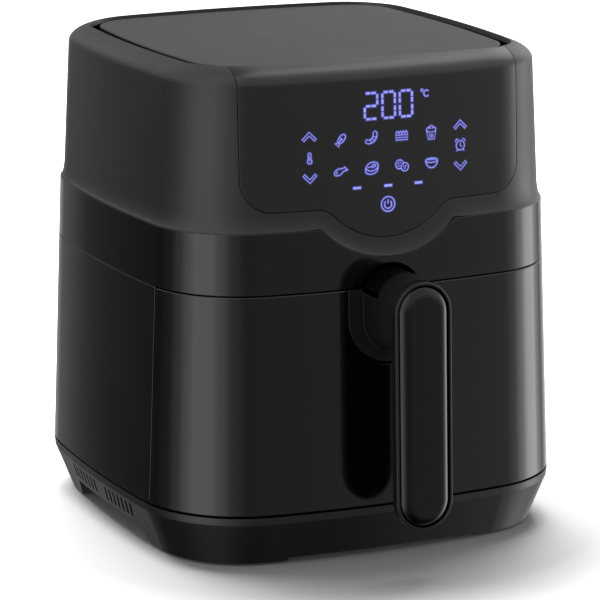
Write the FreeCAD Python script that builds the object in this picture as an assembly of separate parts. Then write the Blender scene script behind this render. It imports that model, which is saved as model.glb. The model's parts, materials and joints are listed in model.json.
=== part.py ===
import FreeCAD, Part
import math
import os

# Air fryer, millimetres. X to the right, Y to the back, Z up.
# The shapes are drawn about the middle of the body, on the surface that the feet stand on.
# write_parts moves them so that the origin is under the middle of the whole, handle included.

V = FreeCAD.Vector
UP = V(0, 0, 1)
BACKWARD = V(0, 1, 0)

# ---- body outline: four big arcs joined by corner arcs ----
HALF_W = 135.0          # at the seam above the base
HALF_D = 137.1
FRONT_R = 580.0         # front and back bow
SIDE_R = 820.0          # left and right bow
CORNER_R = 64.6
DRAFT = 0.037           # the body narrows upwards, mm per mm

# ---- heights ----
PAD_Z = 1.7             # underside of the corner pads, the rubber stands below it
STRIP_Z = 28.0          # where the base starts to slope inwards
SEAM_Z = 33.0           # base to drawer and side shell
DRAWER_Z = 164.4        # drawer and side shell to belt
BELT_Z = 200.8          # belt to upper housing
SHOULDER_Z = 284.8      # where the housing starts to round over
APEX_Z = 296.3          # where the rounding would end
PLATE_Z = 293.9         # top of the lid plate
SKIN = 3.0
SEAM_GAP = 0.6
BASE_SLOPE = 0.415

# ---- upper housing ----
HOUSING_STEP = 2.3      # the housing is this much smaller than the belt
HOUSING_DRAFT = 0.013   # and it narrows this much more
ROUND_W = 24.9
LIP = (109.0, 108.7, 34.0)      # opening for the lid plate: half width, half depth, corner
PLATE = (102.2, 104.4, 29.7)

# ---- control panel outline ----
PANEL_HALF_W = 89.9
PANEL_Z = 211.5         # flat part of the lower edge
PANEL_CORNER = 19.0
BULGE_R = 48.0
BULGE_C = 240.8         # height of the bulge's centre
BULGE_FILLET = 14.0
BELT_LIP = 10.5         # band between panel and belt

# ---- drawer, pot and handle ----
DRAWER_BACK_Y = -78.5   # the drawer front wraps round the corners to here
POT = (104.0, 98.0, 38.0)
POT_Z = (40.0, 150.0)
POT_WALL = 1.5
POT_TAPER = 4.0
GRIP_R = 18.0
GRIP_Z = (28.5, 175.3)
GRIP_Y = -182.75        # front of the grip at the seam
GRIP_DEPTH = 11.5
NECK_R = 17.5
NECK_Z = (145.0, 158.0)         # arc centres of its section
COLLAR_R = 27.5
COLLAR_Z = 146.0
BUTTON_Y = (-149.0, -122.0)
BUTTON_TRAVEL = 2.5
NOTCH_R = 20.0

# ---- cooking space, fan and motor ----
CHAMBER = (111.0, 104.0, 25.0)
CHAMBER_Z = (34.5, 208.0)
SHEET = 1.0
FLAT_R = 5000.0         # its sheet walls are almost flat
MOUTH_Z = (36.0, 160.0)
MOUTH_Y = -77.0          # the side walls start here, the ceiling reaches further forward
SHAFT_R = 4.0
SHAFT_Z = (177.0, 268.0)
REACH = 400.0           # longer than anything, for cutting

# ---- origin: halfway between the front of the grip and the back of the body ----
GRIP_FRONT = 182.9
ORIGIN_Y = 0.5 * (HALF_D - GRIP_FRONT)

NODES = {}


def node(name, *shapes):
    """Keep the piece, or the group of pieces, under its name."""
    shape = shapes[0] if len(shapes) == 1 else Part.makeCompound(list(shapes))
    NODES[name] = shape
    return shape


# ---------------------------------------------------------------- helpers


def box(x0, x1, y0, y1, z0, z1):
    return Part.makeBox(x1 - x0, y1 - y0, z1 - z0, V(x0, y0, z0))


def rod(radius, z0, z1, x=0.0, y=0.0):
    return Part.makeCylinder(radius, z1 - z0, V(x, y, z0), UP)


def rod_y(radius, y0, y1, x, z):
    return Part.makeCylinder(radius, y1 - y0, V(x, y0, z), BACKWARD)


def arc(p, q, r):
    return Part.Arc(p, q, r).toShape()


def line(p, q):
    return Part.LineSegment(p, q).toShape()


def outline(size, z, off=0.0, front_r=FRONT_R, side_r=SIDE_R):
    """Closed wire of eight tangent arcs. size is half width, half depth, corner radius."""
    half_w, half_d, corner = size
    front = V(0, front_r - half_d, 0)
    side = V(half_w - side_r, 0, 0)
    a = front_r - corner
    b = side_r - corner
    gap = front.sub(side)
    span = gap.Length
    along = (b * b - a * a + span * span) / (2 * span)
    height = math.sqrt(b * b - along * along)
    ux = gap.x / span
    uy = gap.y / span
    cx = side.x + along * ux + height * uy
    cy = side.y + along * uy - height * ux
    tf = math.atan2(cx - front.x, front.y - cy)
    ts = math.atan2(side.y - cy, cx - side.x)
    rf = front_r + off
    rs = side_r + off
    rc = corner + off
    mid = 0.5 * (ts + math.pi / 2 - tf)

    def at(c, r, ang, sx, sy):
        return V(sx * (c[0] + r * math.cos(ang)), sy * (c[1] - r * math.sin(ang)), z)

    f = (front.x, front.y)
    s = (side.x, side.y)
    c = (cx, cy)
    lean = math.pi / 2 - tf
    edges = []
    edges.append(arc(at(f, rf, lean, -1, 1), at(f, rf, math.pi / 2, 1, 1), at(f, rf, lean, 1, 1)))
    edges.append(arc(at(f, rf, lean, 1, 1), at(c, rc, mid, 1, 1), at(s, rs, ts, 1, 1)))
    edges.append(arc(at(s, rs, ts, 1, 1), at(s, rs, 0, 1, 1), at(s, rs, ts, 1, -1)))
    edges.append(arc(at(s, rs, ts, 1, -1), at(c, rc, mid, 1, -1), at(f, rf, lean, 1, -1)))
    edges.append(arc(at(f, rf, lean, 1, -1), at(f, rf, math.pi / 2, 1, -1), at(f, rf, lean, -1, -1)))
    edges.append(arc(at(f, rf, lean, -1, -1), at(c, rc, mid, -1, -1), at(s, rs, ts, -1, -1)))
    edges.append(arc(at(s, rs, ts, -1, -1), at(s, rs, 0, -1, 1), at(s, rs, ts, -1, 1)))
    edges.append(arc(at(s, rs, ts, -1, 1), at(c, rc, mid, -1, 1), at(f, rf, lean, -1, 1)))
    return Part.Wire(edges)


BODY = (HALF_W, HALF_D, CORNER_R)


def stack(sections, size=BODY):
    """Solid through the outline at each (z, off)."""
    wires = [outline(size, z, off) for z, off in sections]
    return Part.makeLoft(wires, True, True)


def slab(size, z0, z1, off=0.0, bow=None):
    """Upright block of the outline, with flatter sides if bow gives their radius."""
    radii = (bow, bow) if bow else (FRONT_R, SIDE_R)
    return Part.Face(outline(size, z0, off, *radii)).extrude(V(0, 0, z1 - z0))


def body_off(z):
    return -DRAFT * (z - SEAM_Z)


def body_block(z0, z1, inset=0.0):
    """Tapered body between two heights, inset by that much."""
    return stack([(z0, body_off(z0) - inset), (z1, body_off(z1) - inset)])


def housing_off(z):
    return body_off(z) - HOUSING_STEP - HOUSING_DRAFT * (z - BELT_Z)


def housing_block(inset, z0):
    """Upper housing with its rounded shoulder, inset by that much all over."""
    sections = [(z0, housing_off(z0) - inset)]
    steps = 7
    for i in range(steps):
        a = math.radians(90.0 * i / steps)
        z = SHOULDER_Z + (APEX_Z - SHOULDER_Z) * math.sin(a)
        off = housing_off(SHOULDER_Z) - ROUND_W * (1 - math.cos(a))
        turn = math.atan2(ROUND_W * math.sin(a), (APEX_Z - SHOULDER_Z) * math.cos(a))
        sections.append((z - inset * math.sin(turn), off - inset * math.cos(turn)))
    return stack(sections)


def prism_y(edges, y0, y1):
    """Flat outline in the X-Z plane, drawn out from y0 to y1."""
    face = Part.Face(Part.Wire(edges))
    face.translate(V(0, y0, 0))
    return face.extrude(V(0, y1 - y0, 0))


def pill(radius, z0, z1, y0, y1):
    """Upright pill shape facing forwards; z0 and z1 are the arc centres."""
    a = V(-radius, 0, z0)
    b = V(radius, 0, z0)
    c = V(radius, 0, z1)
    d = V(-radius, 0, z1)
    edges = [arc(a, V(0, 0, z0 - radius), b), line(b, c)]
    edges += [arc(c, V(0, 0, z1 + radius), d), line(d, a)]
    return prism_y(edges, y0, y1)


def ring(radius, minor, z, x=0.0, y=0.0):
    return Part.makeTorus(radius, minor, V(x, y, z), UP)


def screw_z(x, y, head_z, head_r, head_h, shank_r, length, upwards):
    """Pan head screw. The shank runs up or down from the underside of the head."""
    if upwards:
        head = rod(head_r, head_z - head_h, head_z, x, y)
        shank = rod(shank_r, head_z, head_z + length, x, y)
    else:
        head = rod(head_r, head_z, head_z + head_h, x, y)
        shank = rod(shank_r, head_z - length, head_z, x, y)
    return head.fuse(shank)


def screw_y(x, z, head_y, head_r, head_h, shank_r, length):
    """Screw driven forwards from behind: its head is behind head_y."""
    head = rod_y(head_r, head_y, head_y + head_h, x, z)
    shank = rod_y(shank_r, head_y - length, head_y, x, z)
    return head.fuse(shank)


def four(x, y):
    return [(x, y), (-x, y), (-x, -y), (x, -y)]


# ---------------------------------------------------------------- outlines on the front


def bulge_edge(level, radius, fillet, half_w):
    """Flat edge with a round bulge hanging down in the middle, from left to right."""
    reach = radius + fillet
    rise = BULGE_C - level + fillet
    fx = math.sqrt(reach * reach - rise * rise)
    fz = level - fillet
    tx = fx * radius / reach
    tz = BULGE_C - rise * radius / reach
    ang = 0.5 * (math.atan2(tz - fz, fx - tx) + math.pi / 2)
    mx = fx - fillet * math.cos(ang)
    mz = fz + fillet * math.sin(ang)
    return [
        line(V(-half_w, 0, level), V(-fx, 0, level)),
        arc(V(-fx, 0, level), V(-mx, 0, mz), V(-tx, 0, tz)),
        arc(V(-tx, 0, tz), V(0, 0, BULGE_C - radius), V(tx, 0, tz)),
        arc(V(tx, 0, tz), V(mx, 0, mz), V(fx, 0, level)),
        line(V(fx, 0, level), V(half_w, 0, level)),
    ]


def panel_prism(gap):
    """Everything in front that the control panel covers, smaller by gap."""
    half = PANEL_HALF_W - gap
    level = PANEL_Z + gap
    corner = PANEL_CORNER - gap
    inner = half - corner
    top = APEX_Z + 20
    k = corner * (1 - math.sqrt(0.5))
    edges = bulge_edge(level, BULGE_R - gap, BULGE_FILLET + gap, inner)
    right = V(half, 0, level + corner)
    left = V(-half, 0, level + corner)
    edges.append(arc(V(inner, 0, level), V(half - k, 0, level + k), right))
    edges.append(line(right, V(half, 0, top)))
    edges.append(line(V(half, 0, top), V(-half, 0, top)))
    edges.append(line(V(-half, 0, top), left))
    edges.append(arc(left, V(-half + k, 0, level + k), V(-inner, 0, level)))
    return prism_y(edges, -REACH, -60.0)


def belt_front_prism(level_gap):
    """Everything in front above the belt's upper edge."""
    half = HALF_W + 20
    level = BELT_Z + level_gap
    radius = BULGE_R + BELT_LIP - level_gap
    fillet = BULGE_FILLET - BELT_LIP + level_gap
    edges = bulge_edge(level, radius, fillet, half)
    top = APEX_Z + 20
    edges.append(line(V(half, 0, level), V(half, 0, top)))
    edges.append(line(V(half, 0, top), V(-half, 0, top)))
    edges.append(line(V(-half, 0, top), V(-half, 0, level)))
    return prism_y(edges, -REACH, 0.0)


def collar_prism(gap, y0, y1):
    """U shape in the drawer front that takes the handle base."""
    r = COLLAR_R - gap
    top = DRAWER_Z + 20
    a = V(-r, 0, COLLAR_Z)
    b = V(r, 0, COLLAR_Z)
    edges = [arc(a, V(0, 0, COLLAR_Z - r), b), line(b, V(r, 0, top))]
    edges += [line(V(r, 0, top), V(-r, 0, top)), line(V(-r, 0, top), a)]
    return prism_y(edges, y0, y1)


# ---------------------------------------------------------------- base

FLOOR_Z = 15.0          # inside floor
BASE_WALL = 3.2
HOLLOW = (100.0, 102.0, 30.0)   # hollow in the underside, up to HOLLOW_Z
HOLLOW_Z = 12.5
FRONT_RELIEF = (62.0, 3.9)      # half width and height of the gap under the front and back
SIDE_RELIEF_Z = 13.0            # height of the gap under each side
SIDE_RELIEF_Y = (50.0, 57.0)    # its half length at the top and at the pads' underside
FOOT_XY = (88.0, 92.0)
FOOT_R = 7.0
FOOT_SINK = 1.3
POST_XY = (70.0, 62.0)
POST_R = 6.0
PILOT_R = 1.6
VENT_CENTRES = (-28.0, 28.0)
VENT_COUNT = 7
VENT_PITCH = 6.2
VENT_SLOT = (14.0, 2.4, 11.0)
VENT_LEAN = 24.0
VENT_Z = 21.0
BASE_BOTTOM_OFF = -BASE_SLOPE * (STRIP_Z - PAD_Z)


def base():
    outer = stack([(PAD_Z, BASE_BOTTOM_OFF), (STRIP_Z, -0.3), (SEAM_Z - SEAM_GAP, 0.0)])
    floor_off = -BASE_SLOPE * (STRIP_Z - FLOOR_Z) - BASE_WALL
    inner = stack([(FLOOR_Z, floor_off), (STRIP_Z, -0.2 - BASE_WALL), (SEAM_Z + 1, -BASE_WALL)])
    tray = outer.cut(inner)
    # the pads stand on the corners, the middle of each side is cut away
    half, height = FRONT_RELIEF
    tray = tray.cut(box(-half, half, -REACH, REACH, 0, height))
    tray = tray.cut(side_relief())
    tray = tray.cut(slab(HOLLOW, 0, HOLLOW_Z).cut(pad_columns()))
    for x, y in four(*POST_XY):
        tray = tray.fuse(rod(POST_R, FLOOR_Z - 1, CHAMBER_Z[0], x, y))
    for x, y in four(*POST_XY):
        tray = tray.cut(rod(PILOT_R, 0, STRIP_Z, x, y))
    for x, y in four(*FOOT_XY):
        tray = tray.cut(rod(FOOT_R + 0.1, 0, PAD_Z + FOOT_SINK, x, y))
    for side in (-1, 1):
        for centre in VENT_CENTRES:
            tray = tray.cut(vent_group(side, centre))
    return tray


def side_relief():
    """Gap under both sides, with leaning ends."""
    top, bottom = SIDE_RELIEF_Y
    below = bottom + (bottom - top) * PAD_Z / (SIDE_RELIEF_Z - PAD_Z)
    corners = [(-below, 0.0), (below, 0.0), (top, SIDE_RELIEF_Z), (-top, SIDE_RELIEF_Z), (-below, 0.0)]
    face = Part.Face(Part.makePolygon([V(-REACH, y, z) for y, z in corners]))
    return face.extrude(V(2 * REACH, 0, 0))


def pad_columns():
    """Corner blocks of the base that reach down to the feet."""
    shapes = [rod(2 * FOOT_R, 0, HOLLOW_Z + 0.5, x, y) for x, y in four(*FOOT_XY)]
    return shapes[0].fuse(shapes[1:])


def vent_group(side, centre):
    """Slanted slots through the sloping wall of the base."""
    slots = []
    dx, dy, dz = VENT_SLOT
    for i in range(VENT_COUNT):
        y = centre + (i - (VENT_COUNT - 1) / 2) * VENT_PITCH
        slot = Part.makeBox(dx, dy, dz, V(-dx / 2, -dy / 2, -dz / 2))
        slot.rotate(V(0, 0, 0), V(1, 0, 0), VENT_LEAN)
        slot.translate(V(side * (HALF_W - 5.0), y, VENT_Z))
        slots.append(slot)
    return slots[0].fuse(slots[1:])


def rubber_feet():
    feet = []
    for x, y in four(*FOOT_XY):
        foot = rod(FOOT_R, 0.0, PAD_Z + FOOT_SINK, x, y)
        edge = [e for e in foot.Edges if abs(e.BoundBox.ZMax) < 0.01]
        feet.append(foot.makeFillet(0.6, edge))
    return feet


def base_screws():
    return [screw_z(x, y, 12.5, 3.2, 2.0, 1.5, 15.0, True) for x, y in four(*POST_XY)]


# ---------------------------------------------------------------- outer shells

EXHAUST = (56.0, 169.0, 197.0)
GLAND_X = 70.0
GLAND_Z = 62.0
GLAND_HOLE_R = 6.0
GRILLE_COUNT = 13
GRILLE_PITCH = 8.0
GRILLE_SLOT = 4.4


def lower_shell():
    """Sides and back of the body, up to the belt."""
    z0 = SEAM_Z
    z1 = DRAWER_Z - 0.1
    shell = body_block(z0, z1).cut(body_block(z0 - 1, z1 + 1, SKIN))
    shell = shell.cut(box(-REACH, REACH, -REACH, DRAWER_BACK_Y + SEAM_GAP, 0, REACH))
    shell = shell.cut(rod_y(GLAND_HOLE_R, 60, REACH, GLAND_X, GLAND_Z))
    return shell


def front_frame():
    """Bulkhead around the drawer opening, between the side shell and the cooking space."""
    z0 = SEAM_Z - 2.0
    z1 = DRAWER_Z - 0.5
    plate = body_block(z0, z1, SKIN + 0.6).common(box(-REACH, REACH, -77.5, -75.0, z0, z1))
    half = CHAMBER[0] + 0.3
    plate = plate.cut(box(-half, half, -REACH, REACH, CHAMBER_Z[0] - 0.3, REACH))
    return plate.cut(rod_y(PLUNGER_R + 0.3, -80, -70, SWITCH_X, SWITCH_Z))


def belt():
    """Band round the body above the drawer, with the notch for the handle's neck."""
    z0 = DRAWER_Z
    z1 = BELT_Z
    ring_wall = body_block(z0, z1).cut(body_block(z0 - 1, z1 + 1, SKIN))
    floor = body_block(z0, z0 + 2.5, 1.0).common(box(-REACH, REACH, -REACH, -76, z0, z0 + 2.5))
    pocket = box(-24, 24, -134, -115, z0, 181.0).common(body_block(z0, 182.0, 1.0))
    band = ring_wall.fuse([floor, pocket])
    half_w = CHAMBER[0] + 0.3
    front = CHAMBER[1] + 0.4
    band = band.cut(box(-half_w, half_w, -front, front, 0, REACH))
    band = band.cut(belt_front_prism(0.0))
    notch = rod_y(NOTCH_R, -REACH, BUTTON_Y[1] + 4.0, 0, NECK_Z[1])
    notch = notch.fuse(box(-NOTCH_R, NOTCH_R, -REACH, BUTTON_Y[1] + 4.0, 140, NECK_Z[1]))
    band = band.cut(notch)
    band = band.cut(box(-EXHAUST[0], EXHAUST[0], 60, REACH, EXHAUST[1], EXHAUST[2]))
    return band


def rear_cover():
    """Exhaust grille in the back of the belt."""
    gap = 0.3
    half, low, high = EXHAUST
    wall = body_block(low - 2, high + 2, 0.2).cut(body_block(low - 3, high + 3, SKIN))
    grille = wall.common(box(-half + gap, half - gap, 60, REACH, low + gap, high - gap))
    for i in range(GRILLE_COUNT):
        x = (i - (GRILLE_COUNT - 1) / 2) * GRILLE_PITCH
        slot = box(x - GRILLE_SLOT / 2, x + GRILLE_SLOT / 2, 60, REACH, low + 4, high - 4)
        grille = grille.cut(slot)
    return grille


def cord_gland():
    """Round bush in the back where the power cord leaves."""
    back = HALF_D + body_off(GLAND_Z)
    bow = FRONT_R - math.sqrt(FRONT_R ** 2 - GLAND_X ** 2)
    face = back - bow
    bush = rod_y(8.0, face + 1.2, face + 3.5, GLAND_X, GLAND_Z)
    bush = bush.fuse(rod_y(GLAND_HOLE_R - 0.1, face - 7.5, face + 1.5, GLAND_X, GLAND_Z))
    bush = bush.fuse(rod_y(7.5, face - 7.5, face - 4.9, GLAND_X, GLAND_Z))
    bush = bush.cut(rod_y(3.6, face - 20, face + 20, GLAND_X, GLAND_Z))
    return bush


LEDGE_Z = (285.0, 287.5)
LIP_WALL_TOP = 293.0
PLATE_THICK = 3.0
PLATE_EDGE = 1.8


def gutter():
    """Wall and ledge below the lid opening, on which the lid plate rests."""
    wall = slab(LIP, LEDGE_Z[0], LIP_WALL_TOP, 2.0).cut(slab(LIP, 280.0, 300.0))
    ledge = slab(LIP, *LEDGE_Z, 1.0).cut(slab(PLATE, 280.0, 300.0, -9.0))
    return wall.fuse(ledge)


def housing_shell():
    """Whole upper housing before the control panel is cut out of it."""
    outer = housing_block(0.0, BELT_Z - 25)
    inner = housing_block(SKIN, BELT_Z - 26)
    shell = outer.cut(inner)
    shell = shell.cut(slab(LIP, 270.0, REACH))
    below = box(-REACH, REACH, -REACH, REACH, 0, BELT_Z + 0.1)
    keep = belt_front_prism(0.1)
    return shell.cut(below.cut(keep))


def upper_housing(shell):
    return shell.cut(panel_prism(0.0)).fuse(gutter().common(housing_block(SKIN, BELT_Z)))


def top_plate():
    plate = slab(PLATE, PLATE_Z - PLATE_THICK, PLATE_Z)
    top = [e for e in plate.Edges if e.BoundBox.ZMin > PLATE_Z - 0.1]
    plate = plate.makeFillet(PLATE_EDGE, top)
    skirt = slab(PLATE, LEDGE_Z[1], PLATE_Z - 2.0, -2.0).cut(slab(PLATE, 280.0, REACH, -4.0))
    return plate.fuse(skirt)


# ---------------------------------------------------------------- control panel

BOARD_Y = -114.0
BOARD_THICK = 1.6
BOARD_XZ = (70.0, 218.0, 281.0)
BOSS_R = 3.5
KEY_SPRING_R = (3.4, 2.7)
MODULE = (22.0, 259.0, 279.0)       # half width, low and high
FIGURE_X = (-12.0, 2.0, 16.0)
PANEL_BOSS = ((-62.0, 224.0), (62.0, 224.0), (-62.0, 275.0), (62.0, 275.0))
KEY_COLUMNS = (-29.5, -10.0, 9.5, 29.0)
KEY_ROWS = (233.9, 251.4)
ARROW_X = 48.6
ARROW_ROWS = (230.4, 254.7)


def control_panel(shell):
    cover = shell.common(panel_prism(0.25))
    inner = housing_block(SKIN, BELT_Z - 26)
    for x, z in PANEL_BOSS:
        boss = rod_y(BOSS_R, -150, BOARD_Y - BOARD_THICK, x, z).common(inner)
        cover = cover.fuse(boss)
        cover = cover.cut(rod_y(1.2, BOARD_Y - 6, BOARD_Y, x, z))
    return cover


def display_board():
    half, low, high = BOARD_XZ
    board = box(-half, half, BOARD_Y - BOARD_THICK, BOARD_Y, low, high)
    for x, z in PANEL_BOSS:
        board = board.cut(rod_y(1.3, BOARD_Y - 3, BOARD_Y + 3, x, z))
    parts = [box(-8, 6, BOARD_Y, BOARD_Y + 3.0, 240, 252), box(30, 52, BOARD_Y, BOARD_Y + 6.0, 262, 272)]
    parts.append(box(-56, -36, BOARD_Y, BOARD_Y + 4.5, 244, 262))
    return board.fuse(parts)


def display_module():
    """Light box behind the figures."""
    half, low, high = MODULE
    module = box(-half, half, BOARD_Y - 5.0, BOARD_Y - BOARD_THICK, low, high)
    for x in FIGURE_X:
        module = module.cut(box(x - 5, x + 5, BOARD_Y - 6, BOARD_Y - 4.2, low + 2.5, high - 1.5))
    return module


def key_places():
    places = [(x, z) for z in KEY_ROWS for x in KEY_COLUMNS]
    places += [(s * ARROW_X, z) for z in ARROW_ROWS for s in (-1, 1)]
    return places


def touch_springs():
    """Contact springs between the board and the panel, one behind each key."""
    springs = []
    inside = housing_block(SKIN + 0.2, BELT_Z - 26)
    for x, z in key_places():
        outer, inner = KEY_SPRING_R
        spring = rod_y(outer, BOARD_Y - 6.0, BOARD_Y - BOARD_THICK, x, z).common(inside)
        springs.append(spring.cut(rod_y(inner, BOARD_Y - 7.0, BOARD_Y - 2.2, x, z)))
    return springs


def board_screws():
    return [screw_y(x, z, BOARD_Y, 2.4, 1.4, 1.1, 5.0) for x, z in PANEL_BOSS]


# ---------------------------------------------------------------- cooking space

MOTOR_POST = 38.0
SENSOR_XY = (80.0, -70.0)
CUTOUT_XY = (-72.0, 58.0)
ELEMENT_Z = 187.0
ELEMENT_R = (82.0, 92.0)
LEG_Y = 91.2
LEG_X = 12.0
TUBE_R = 3.25
CLIP_ANGLES = (20.0, 140.0, 260.0)
DISH = ((103.0, 199.0), (78.0, 206.0))      # radius and height of the reflector's rim and top
GUARD_Z = 170.0
GUARD_RINGS = (24.0, 42.0, 60.0, 78.0, 96.0)
GUARD_WIRE = 1.3


def polar(radius, degrees):
    a = math.radians(degrees)
    return radius * math.cos(a), radius * math.sin(a)


def chamber_block():
    return slab(CHAMBER, CHAMBER_Z[0], CHAMBER_Z[1], 0.0, FLAT_R)


def chamber():
    z0, z1 = CHAMBER_Z
    shell = chamber_block().cut(slab(CHAMBER, z0 + SHEET, z1 - SHEET, -SHEET, FLAT_R))
    shell = shell.cut(box(-REACH, REACH, -REACH, MOUTH_Y, *MOUTH_Z))
    shell = shell.cut(box(-52, 52, 60, REACH, 174, 192))
    shell = shell.cut(rod(6.5, 190, REACH))
    shell = shell.cut(rod(3.0, 190, REACH, *SENSOR_XY))
    for x in (-LEG_X, LEG_X):
        shell = shell.cut(rod(TUBE_R + 0.4, 190, REACH, x, LEG_Y))
    for i in range(3):
        shell = shell.cut(rod(2.2, 200, REACH, *polar(MOTOR_POST, 90 + 120 * i)))
    return shell


def drawer_rails():
    z0 = CHAMBER_Z[0] + SHEET
    rails = []
    for side in (-1, 1):
        x0 = min(side * 68.0, side * 76.0)
        rail = box(x0, x0 + 8.0, -92.0, 92.0, z0, POT_Z[0] - 0.3)
        rails.append(rail)
    return rails


def dish_cone(rise):
    """Solid cone frustum of the reflector's outside, moved up by rise."""
    wires = [Part.Wire(Part.makeCircle(radius, V(0, 0, z + rise), UP)) for radius, z in DISH]
    return Part.makeLoft(wires, True, True)


def heat_reflector():
    """Shallow steel dish above the fan."""
    outer = dish_cone(0.0)
    dish = outer.cut(dish_cone(-SHEET))
    top_r, top_z = DISH[1]
    dish = dish.fuse(rod(top_r + 0.5, top_z - SHEET, top_z)).cut(rod(8.0, 190, REACH))
    for x in (-LEG_X, LEG_X):
        dish = dish.cut(rod(TUBE_R + 0.4, 190, REACH, x, LEG_Y))
    return dish


def heating_element():
    """Sheathed tube in two turns round the fan, with both ends up through the ceiling."""
    parts = [ring(radius, TUBE_R, ELEMENT_Z) for radius in ELEMENT_R]
    start = V(0, -ELEMENT_R[1], ELEMENT_Z)
    parts.append(Part.makeCylinder(TUBE_R, ELEMENT_R[1] - ELEMENT_R[0], start, BACKWARD))
    for x in (-LEG_X, LEG_X):
        parts.append(rod(TUBE_R, ELEMENT_Z, 218.0, x, LEG_Y))
    return parts[0].fuse(parts[1:])


def element_clips(element, dish):
    clips = []
    for angle in CLIP_ANGLES:
        clip = box(ELEMENT_R[0] - 7, ELEMENT_R[1] + 7, -1.0, 1.0, ELEMENT_Z - 5.5, 202.0)
        clip.rotate(V(0, 0, 0), UP, angle)
        above = rod(120, 190, 220).cut(dish_space())
        clips.append(clip.cut(element).cut(dish).cut(above))
    return clips


def dish_space():
    """Everything under the reflector."""
    return dish_cone(-SHEET).fuse(rod(120, 150, DISH[0][1] - SHEET))


def fan_guard():
    """Wire guard between the element and the food."""
    wire = GUARD_WIRE
    parts = [ring(radius, wire, GUARD_Z) for radius in GUARD_RINGS]
    parts.append(rod(12.0, GUARD_Z - 2.4, GUARD_Z - 0.8))
    for i in range(6):
        spoke = Part.makeCylinder(wire, 87.0, V(10, 0, GUARD_Z - 1.6), V(1, 0, 0))
        spoke.rotate(V(0, 0, 0), UP, 60.0 * i + 10.0)
        parts.append(spoke)
    for i in range(3):
        x, y = polar(GUARD_RINGS[-1] + 1.5, 120 * i + 70.0)
        parts.append(rod(2.0, GUARD_Z - 0.5, 198.8, x, y))
    guard = parts[0]
    for part in parts[1:]:
        guard = guard.fuse(part)
    return guard


def temperature_sensor():
    x, y = SENSOR_XY
    return rod(2.4, 186.0, 214.0, x, y).fuse(rod(5.5, 208.0, 211.0, x, y))


def thermal_cutout():
    x, y = CUTOUT_XY
    can = rod(8.5, 208.0, 214.0, x, y)
    terminals = [box(x + s * 5 - 0.4, x + s * 5 + 0.4, y - 3, y + 3, 213.5, 221.0) for s in (-1, 1)]
    return can.fuse(terminals)


# ---------------------------------------------------------------- motor and fans

BUSH_Z = (208.0, 214.0)
BRACKET_Z = (214.0, 215.5)
MOTOR_Z = (215.5, 245.0)
MOTOR_R = 30.0
BRACKET_R = 47.0
BUSH_R = 6.0


def bush_places():
    return [polar(MOTOR_POST, 90 + 120 * i) for i in range(3)]


def motor_bushes():
    bushes = []
    for x, y in bush_places():
        bush = rod(BUSH_R, BUSH_Z[0], BUSH_Z[1], x, y).cut(rod(2.1, 200, 220, x, y))
        waist = rod(BUSH_R + 1, BUSH_Z[0] + 2.2, BUSH_Z[0] + 3.8, x, y)
        bushes.append(bush.cut(waist.cut(rod(4.9, 200, 220, x, y))))
    return bushes


def motor_bracket():
    disc = rod(BRACKET_R, BRACKET_Z[0], BRACKET_Z[1])
    disc = disc.cut(rod(7.0, 200, 230))
    for x, y in bush_places():
        disc = disc.cut(rod(2.1, 200, 230, x, y))
    for i in range(3):
        x, y = polar(MOTOR_POST, 30 + 120 * i)
        disc = disc.cut(rod(6.0, 200, 230, x, y))
    return disc


def motor_screws():
    return [screw_z(x, y, BRACKET_Z[1], 3.6, 2.4, 2.0, 9.5, False) for x, y in bush_places()]


def motor():
    z0, z1 = MOTOR_Z
    can = rod(MOTOR_R, z0, z1 - 3.0)
    top = [e for e in can.Edges if e.BoundBox.ZMin > z1 - 3.1]
    can = can.makeFillet(3.0, top).fuse(rod(11.0, z1 - 4.0, z1))
    for i in range(6):
        x, y = polar(MOTOR_R + 1, 60 * i + 30)
        can = can.cut(rod(5.0, z0 + 5, z1 - 8, x, y))
    return can.cut(rod(SHAFT_R + 0.08, 200, 260))


def motor_shaft():
    return rod(SHAFT_R, *SHAFT_Z)


HOT_FAN = (183.5, 196.0, 11.0, 72.0)        # low, high, hub radius, radius
COOLING_FAN = (250.0, 262.0, 9.0, 44.0)
BLADE_TWIST = 18.0


def hub_fan(size, blades, disc_low):
    """Fan of straight blades on a disc with a hub."""
    z0, z1, hub_r, radius = size
    disc_z = z0 if disc_low else z1 - 1.2
    parts = [rod(hub_r, z0, z1), rod(radius * 0.72, disc_z, disc_z + 1.2)]
    for i in range(blades):
        blade = box(hub_r - 1.0, radius, -0.6, 0.6, z0, z1)
        blade.rotate(V(hub_r, 0, 0), UP, BLADE_TWIST)
        blade.rotate(V(0, 0, 0), UP, 360.0 * i / blades)
        parts.append(blade)
    return parts[0].fuse(parts[1:]).cut(rod(SHAFT_R, z0 - 5, z1 + 5))


def fan_nut():
    points = []
    for i in range(7):
        x, y = polar(7.5, 60 * i)
        points.append(V(x, y, 178.5))
    hexagon = Part.Face(Part.makePolygon(points)).extrude(V(0, 0, 5.0))
    return hexagon.cut(rod(SHAFT_R, 170, 190))


# ---------------------------------------------------------------- electrics at the back


def exhaust_duct():
    half = 54.0
    outer = box(-half, half, CHAMBER[1], REACH, 171.5, 194.5)
    inner = box(-half + 1.2, half - 1.2, 0, REACH, 172.7, 193.3)
    inside = body_block(160, 200, SKIN + 0.3)
    duct = outer.cut(inner).common(inside)
    return duct.cut(chamber_block())


def power_board():
    board = box(-75, 60, 112.0, 113.6, 78, 152)
    parts = [box(-66, -38, 113.6, 123.0, 96, 124), box(-26, -10, 113.6, 124.0, 100, 118)]
    parts += [box(2, 22, 113.6, 122.0, 120, 140), rod_y(5.0, 113.6, 124.0, 36, 100)]
    parts += [rod_y(4.0, 113.6, 121.0, 36, 118)]
    return board.fuse(parts)


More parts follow.
